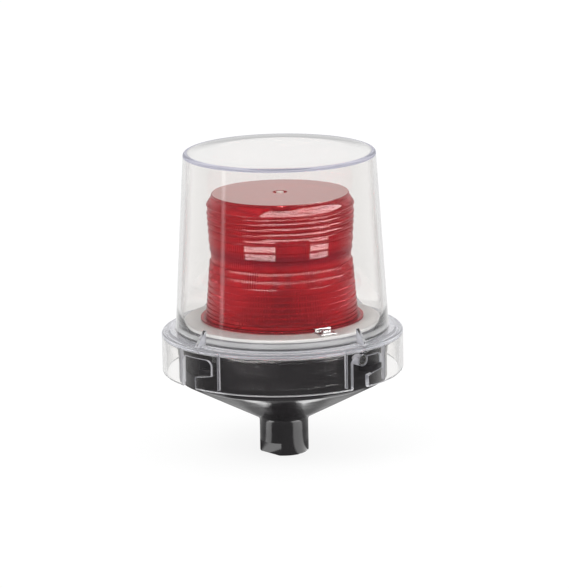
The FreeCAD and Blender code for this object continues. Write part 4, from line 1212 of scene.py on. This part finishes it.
@dataclass
class Studio:
    """Camera, floor, lamps and surroundings."""

    eye: tuple[float, float, float] = (0.0, -2.5, 0.688)
    target: tuple[float, float, float] = (0.0, 0.0, 0.1101)
    roll: float = -1.03
    lens: float = 230.27
    shift_x: float = 0.00469
    front: float = 0.10
    near: float = 0.3
    inner_front: float = 0.9
    beside: float = 2.8       # how bright the floor near the hub looks in it, from the sides
    behind: Point = (0.26, 0.50)  # the same behind it: nearest the hub, and farther away
    near_floor: float = 0.2
    right_turn: Point = (34.0, 42.0)    # where the floor's brighter sides begin, in degrees
    left_turn: Point = (-52.0, -59.0)
    back_turn: Point = (82.0, 89.0)
    back_near: Point = (0.033, 0.048)   # metres from the axis over which the back changes
    back_far: Point = (0.05, 0.11)
    back_fade: float = 0.6
    white: float = 1.03                 # the floor as the camera sees it
    shadow_reach: Point = (0.02, 0.20)
    shadow_share: float = 0.16
    underside: Point = (-55.0, -30.0)   # elevations over which the world brightens below
    back_depth: float = 0.75
    ambient: float = 0.8
    windows: tuple[Window, ...] = (Window((-58.0, -10.0), (-8.0, 12.0), 40.0),
        Window((47.0, 79.0), (-8.0, 12.0), 40.0), Window((-34.0, 121.0), (26.0, 70.0), 30.0),
        Window((-71.0, -68.0), (-8.0, 30.0), 1.4, inside=False), )

    def camera(self) -> None:
        """Place the camera."""
        data = bpy.data.cameras.new("camera")
        data.lens = self.lens
        data.sensor_width = 36.0
        data.shift_x = self.shift_x
        data.clip_end = 50.0
        item = stand("camera", data)
        item.matrix_world = (aim(self.eye, self.target)
                             @ Matrix.Rotation(math.radians(self.roll), 4, "Z"))
        bpy.context.scene.camera = item

    def lamp(self, name: str, place: tuple[float, float, float], size: float, power: float) -> None:
        """Add a soft lamp that reflections don't show."""
        data = bpy.data.lights.new(name, "AREA")
        data.size = size
        data.energy = power
        item = stand(name, data)
        item.matrix_world = aim(place, (0.0, 0.0, 0.0))
        item.visible_camera = False
        item.visible_glossy = False
        item.visible_transmission = False

    def floor(self) -> None:
        """Lay the pale floor, which keeps the object's shadow."""
        reach = 20.0
        mesh = bpy.data.meshes.new("floor")
        mesh.from_pydata([(-reach, -reach, 0.0), (reach, -reach, 0.0), (reach, reach, 0.0),
                          (-reach, reach, 0.0)], [], [(0, 1, 2, 3)])
        item = stand("floor", mesh)
        material, graph = new_material("floor")
        where = graph.place()
        away = graph.add("ShaderNodeVectorMath", {0: where}, operation="LENGTH").outputs["Value"]
        shade = graph.add("ShaderNodeBsdfDiffuse", {"Color": (0.9, 0.9, 0.9, 1.0)})
        white = graph.add("ShaderNodeEmission", {"Strength": self.white})
        share = graph.ramp(away, *self.shadow_reach, self.shadow_share, 0.0)
        path = graph.path()
        plain = graph.largest(path["Is Camera Ray"], path["Is Transmission Ray"])
        kept = graph.largest(share, graph.minus(1.0, plain))
        seen = graph.blend(kept, white, shade)
        mirrored = graph.math("GREATER_THAN", path["Glossy Depth"], ANY_MIRROR)
        x, y, _ = graph.split(where)
        turn = graph.math("DEGREES", graph.azimuth(x, y))
        beside = graph.largest(graph.ramp(turn, *self.right_turn),
                               graph.ramp(turn, *self.left_turn))
        beside = graph.times(beside, graph.math("LESS_THAN", path["Glossy Depth"], FIRST_MIRROR))
        behind = graph.ramp(graph.math("ABSOLUTE", turn), *self.back_turn)
        level = graph.math("MULTIPLY_ADD", beside, self.beside - self.near, self.near)
        back = graph.times(graph.ramp(away, *self.back_near, *self.behind),
                          graph.ramp(away, *self.back_far, 1.0, self.back_fade))
        back = graph.minus(back, level)
        level = graph.math("MULTIPLY_ADD", behind, back, level)
        shine = graph.add("ShaderNodeEmission", {"Strength": level})
        clear = graph.add("ShaderNodeBsdfTransparent")
        far = graph.math("GREATER_THAN", away, self.near_floor)
        graph.close(graph.blend(mirrored, seen, graph.blend(far, shine, clear)))
        dress(item, material)

    def surroundings(self) -> None:
        """Build the world: white behind the object, darker in front, with bright windows."""
        world = bpy.data.worlds.new("studio")
        world.use_nodes = True
        bpy.context.scene.world = world
        graph = Graph(world.node_tree)
        way = graph.add("ShaderNodeTexCoord").outputs["Generated"]
        x, y, z = graph.split(way)
        azimuth = graph.math("DEGREES", graph.azimuth(x, y))
        height = graph.math("DEGREES", graph.math("ARCSINE", z))
        path = graph.path()
        single = graph.math("LESS_THAN", path["Glossy Depth"], FIRST_MIRROR)
        outer = graph.math("LESS_THAN", path["Transmission Depth"], OUTER_WALLS)
        inner = graph.math("LESS_THAN", path["Transmission Depth"], INNER_WALLS)
        first = graph.times(single, inner)
        under = graph.times(first, graph.minus(1.0, outer))
        front = graph.ramp(first, 0.0, 1.0, self.inner_front, self.front)
        back = graph.ramp(y, 0.0, self.back_depth, front, 1.0)
        below = graph.ramp(height, *self.underside, 1.0, 0.0)
        level = graph.largest(back, below)
        for window in self.windows:
            inside = under if window.inside else outer
            for value, (low, high) in ((azimuth, window.azimuth), (height, window.elevation)):
                rise = graph.ramp(value, low - window.soft, low)
                fall = graph.ramp(value, high, high + window.soft, 1.0, 0.0)
                inside = graph.times(inside, graph.times(rise, fall))
            level = graph.math("MULTIPLY_ADD", inside, window.level, level)
        mirrored = graph.math("GREATER_THAN", path["Glossy Depth"], ANY_MIRROR)
        seen = graph.largest(path["Is Camera Ray"], path["Is Transmission Ray"])
        plain = graph.ramp(seen, 0.0, 1.0, self.ambient, 1.0)
        strength = graph.add("ShaderNodeMix", {0: mirrored, 2: plain, 3: level}).outputs[0]
        shade = graph.add("ShaderNodeBackground", {"Strength": strength})
        graph.close(shade, "World")

    def build(self) -> None:
        """Set the whole studio up."""
        self.camera()
        self.floor()
        self.surroundings()
        self.lamp("key", (-0.9, -1.0, 1.5), 0.9, 14.0)
        self.lamp("fill", (1.2, -0.6, 1.1), 1.0, 7.0)
        bpy.context.scene.view_settings.view_transform = "Standard"


def main() -> None:
    """Build every sub-assembly round the frame, then the studio."""
    logging.basicConfig(level=logging.INFO, format="%(name)s: %(message)s")
    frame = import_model()
    finishes = Finishes()
    for kind in (Housing, MountingPlate, RingLens, FlashUnit, Flasher, ClearDome):
        kind(finishes, frame["nodes"]).build()
        LOG.info("%s built", kind.__name__)
    Studio().build()


if __name__ == "__main__":
    main()
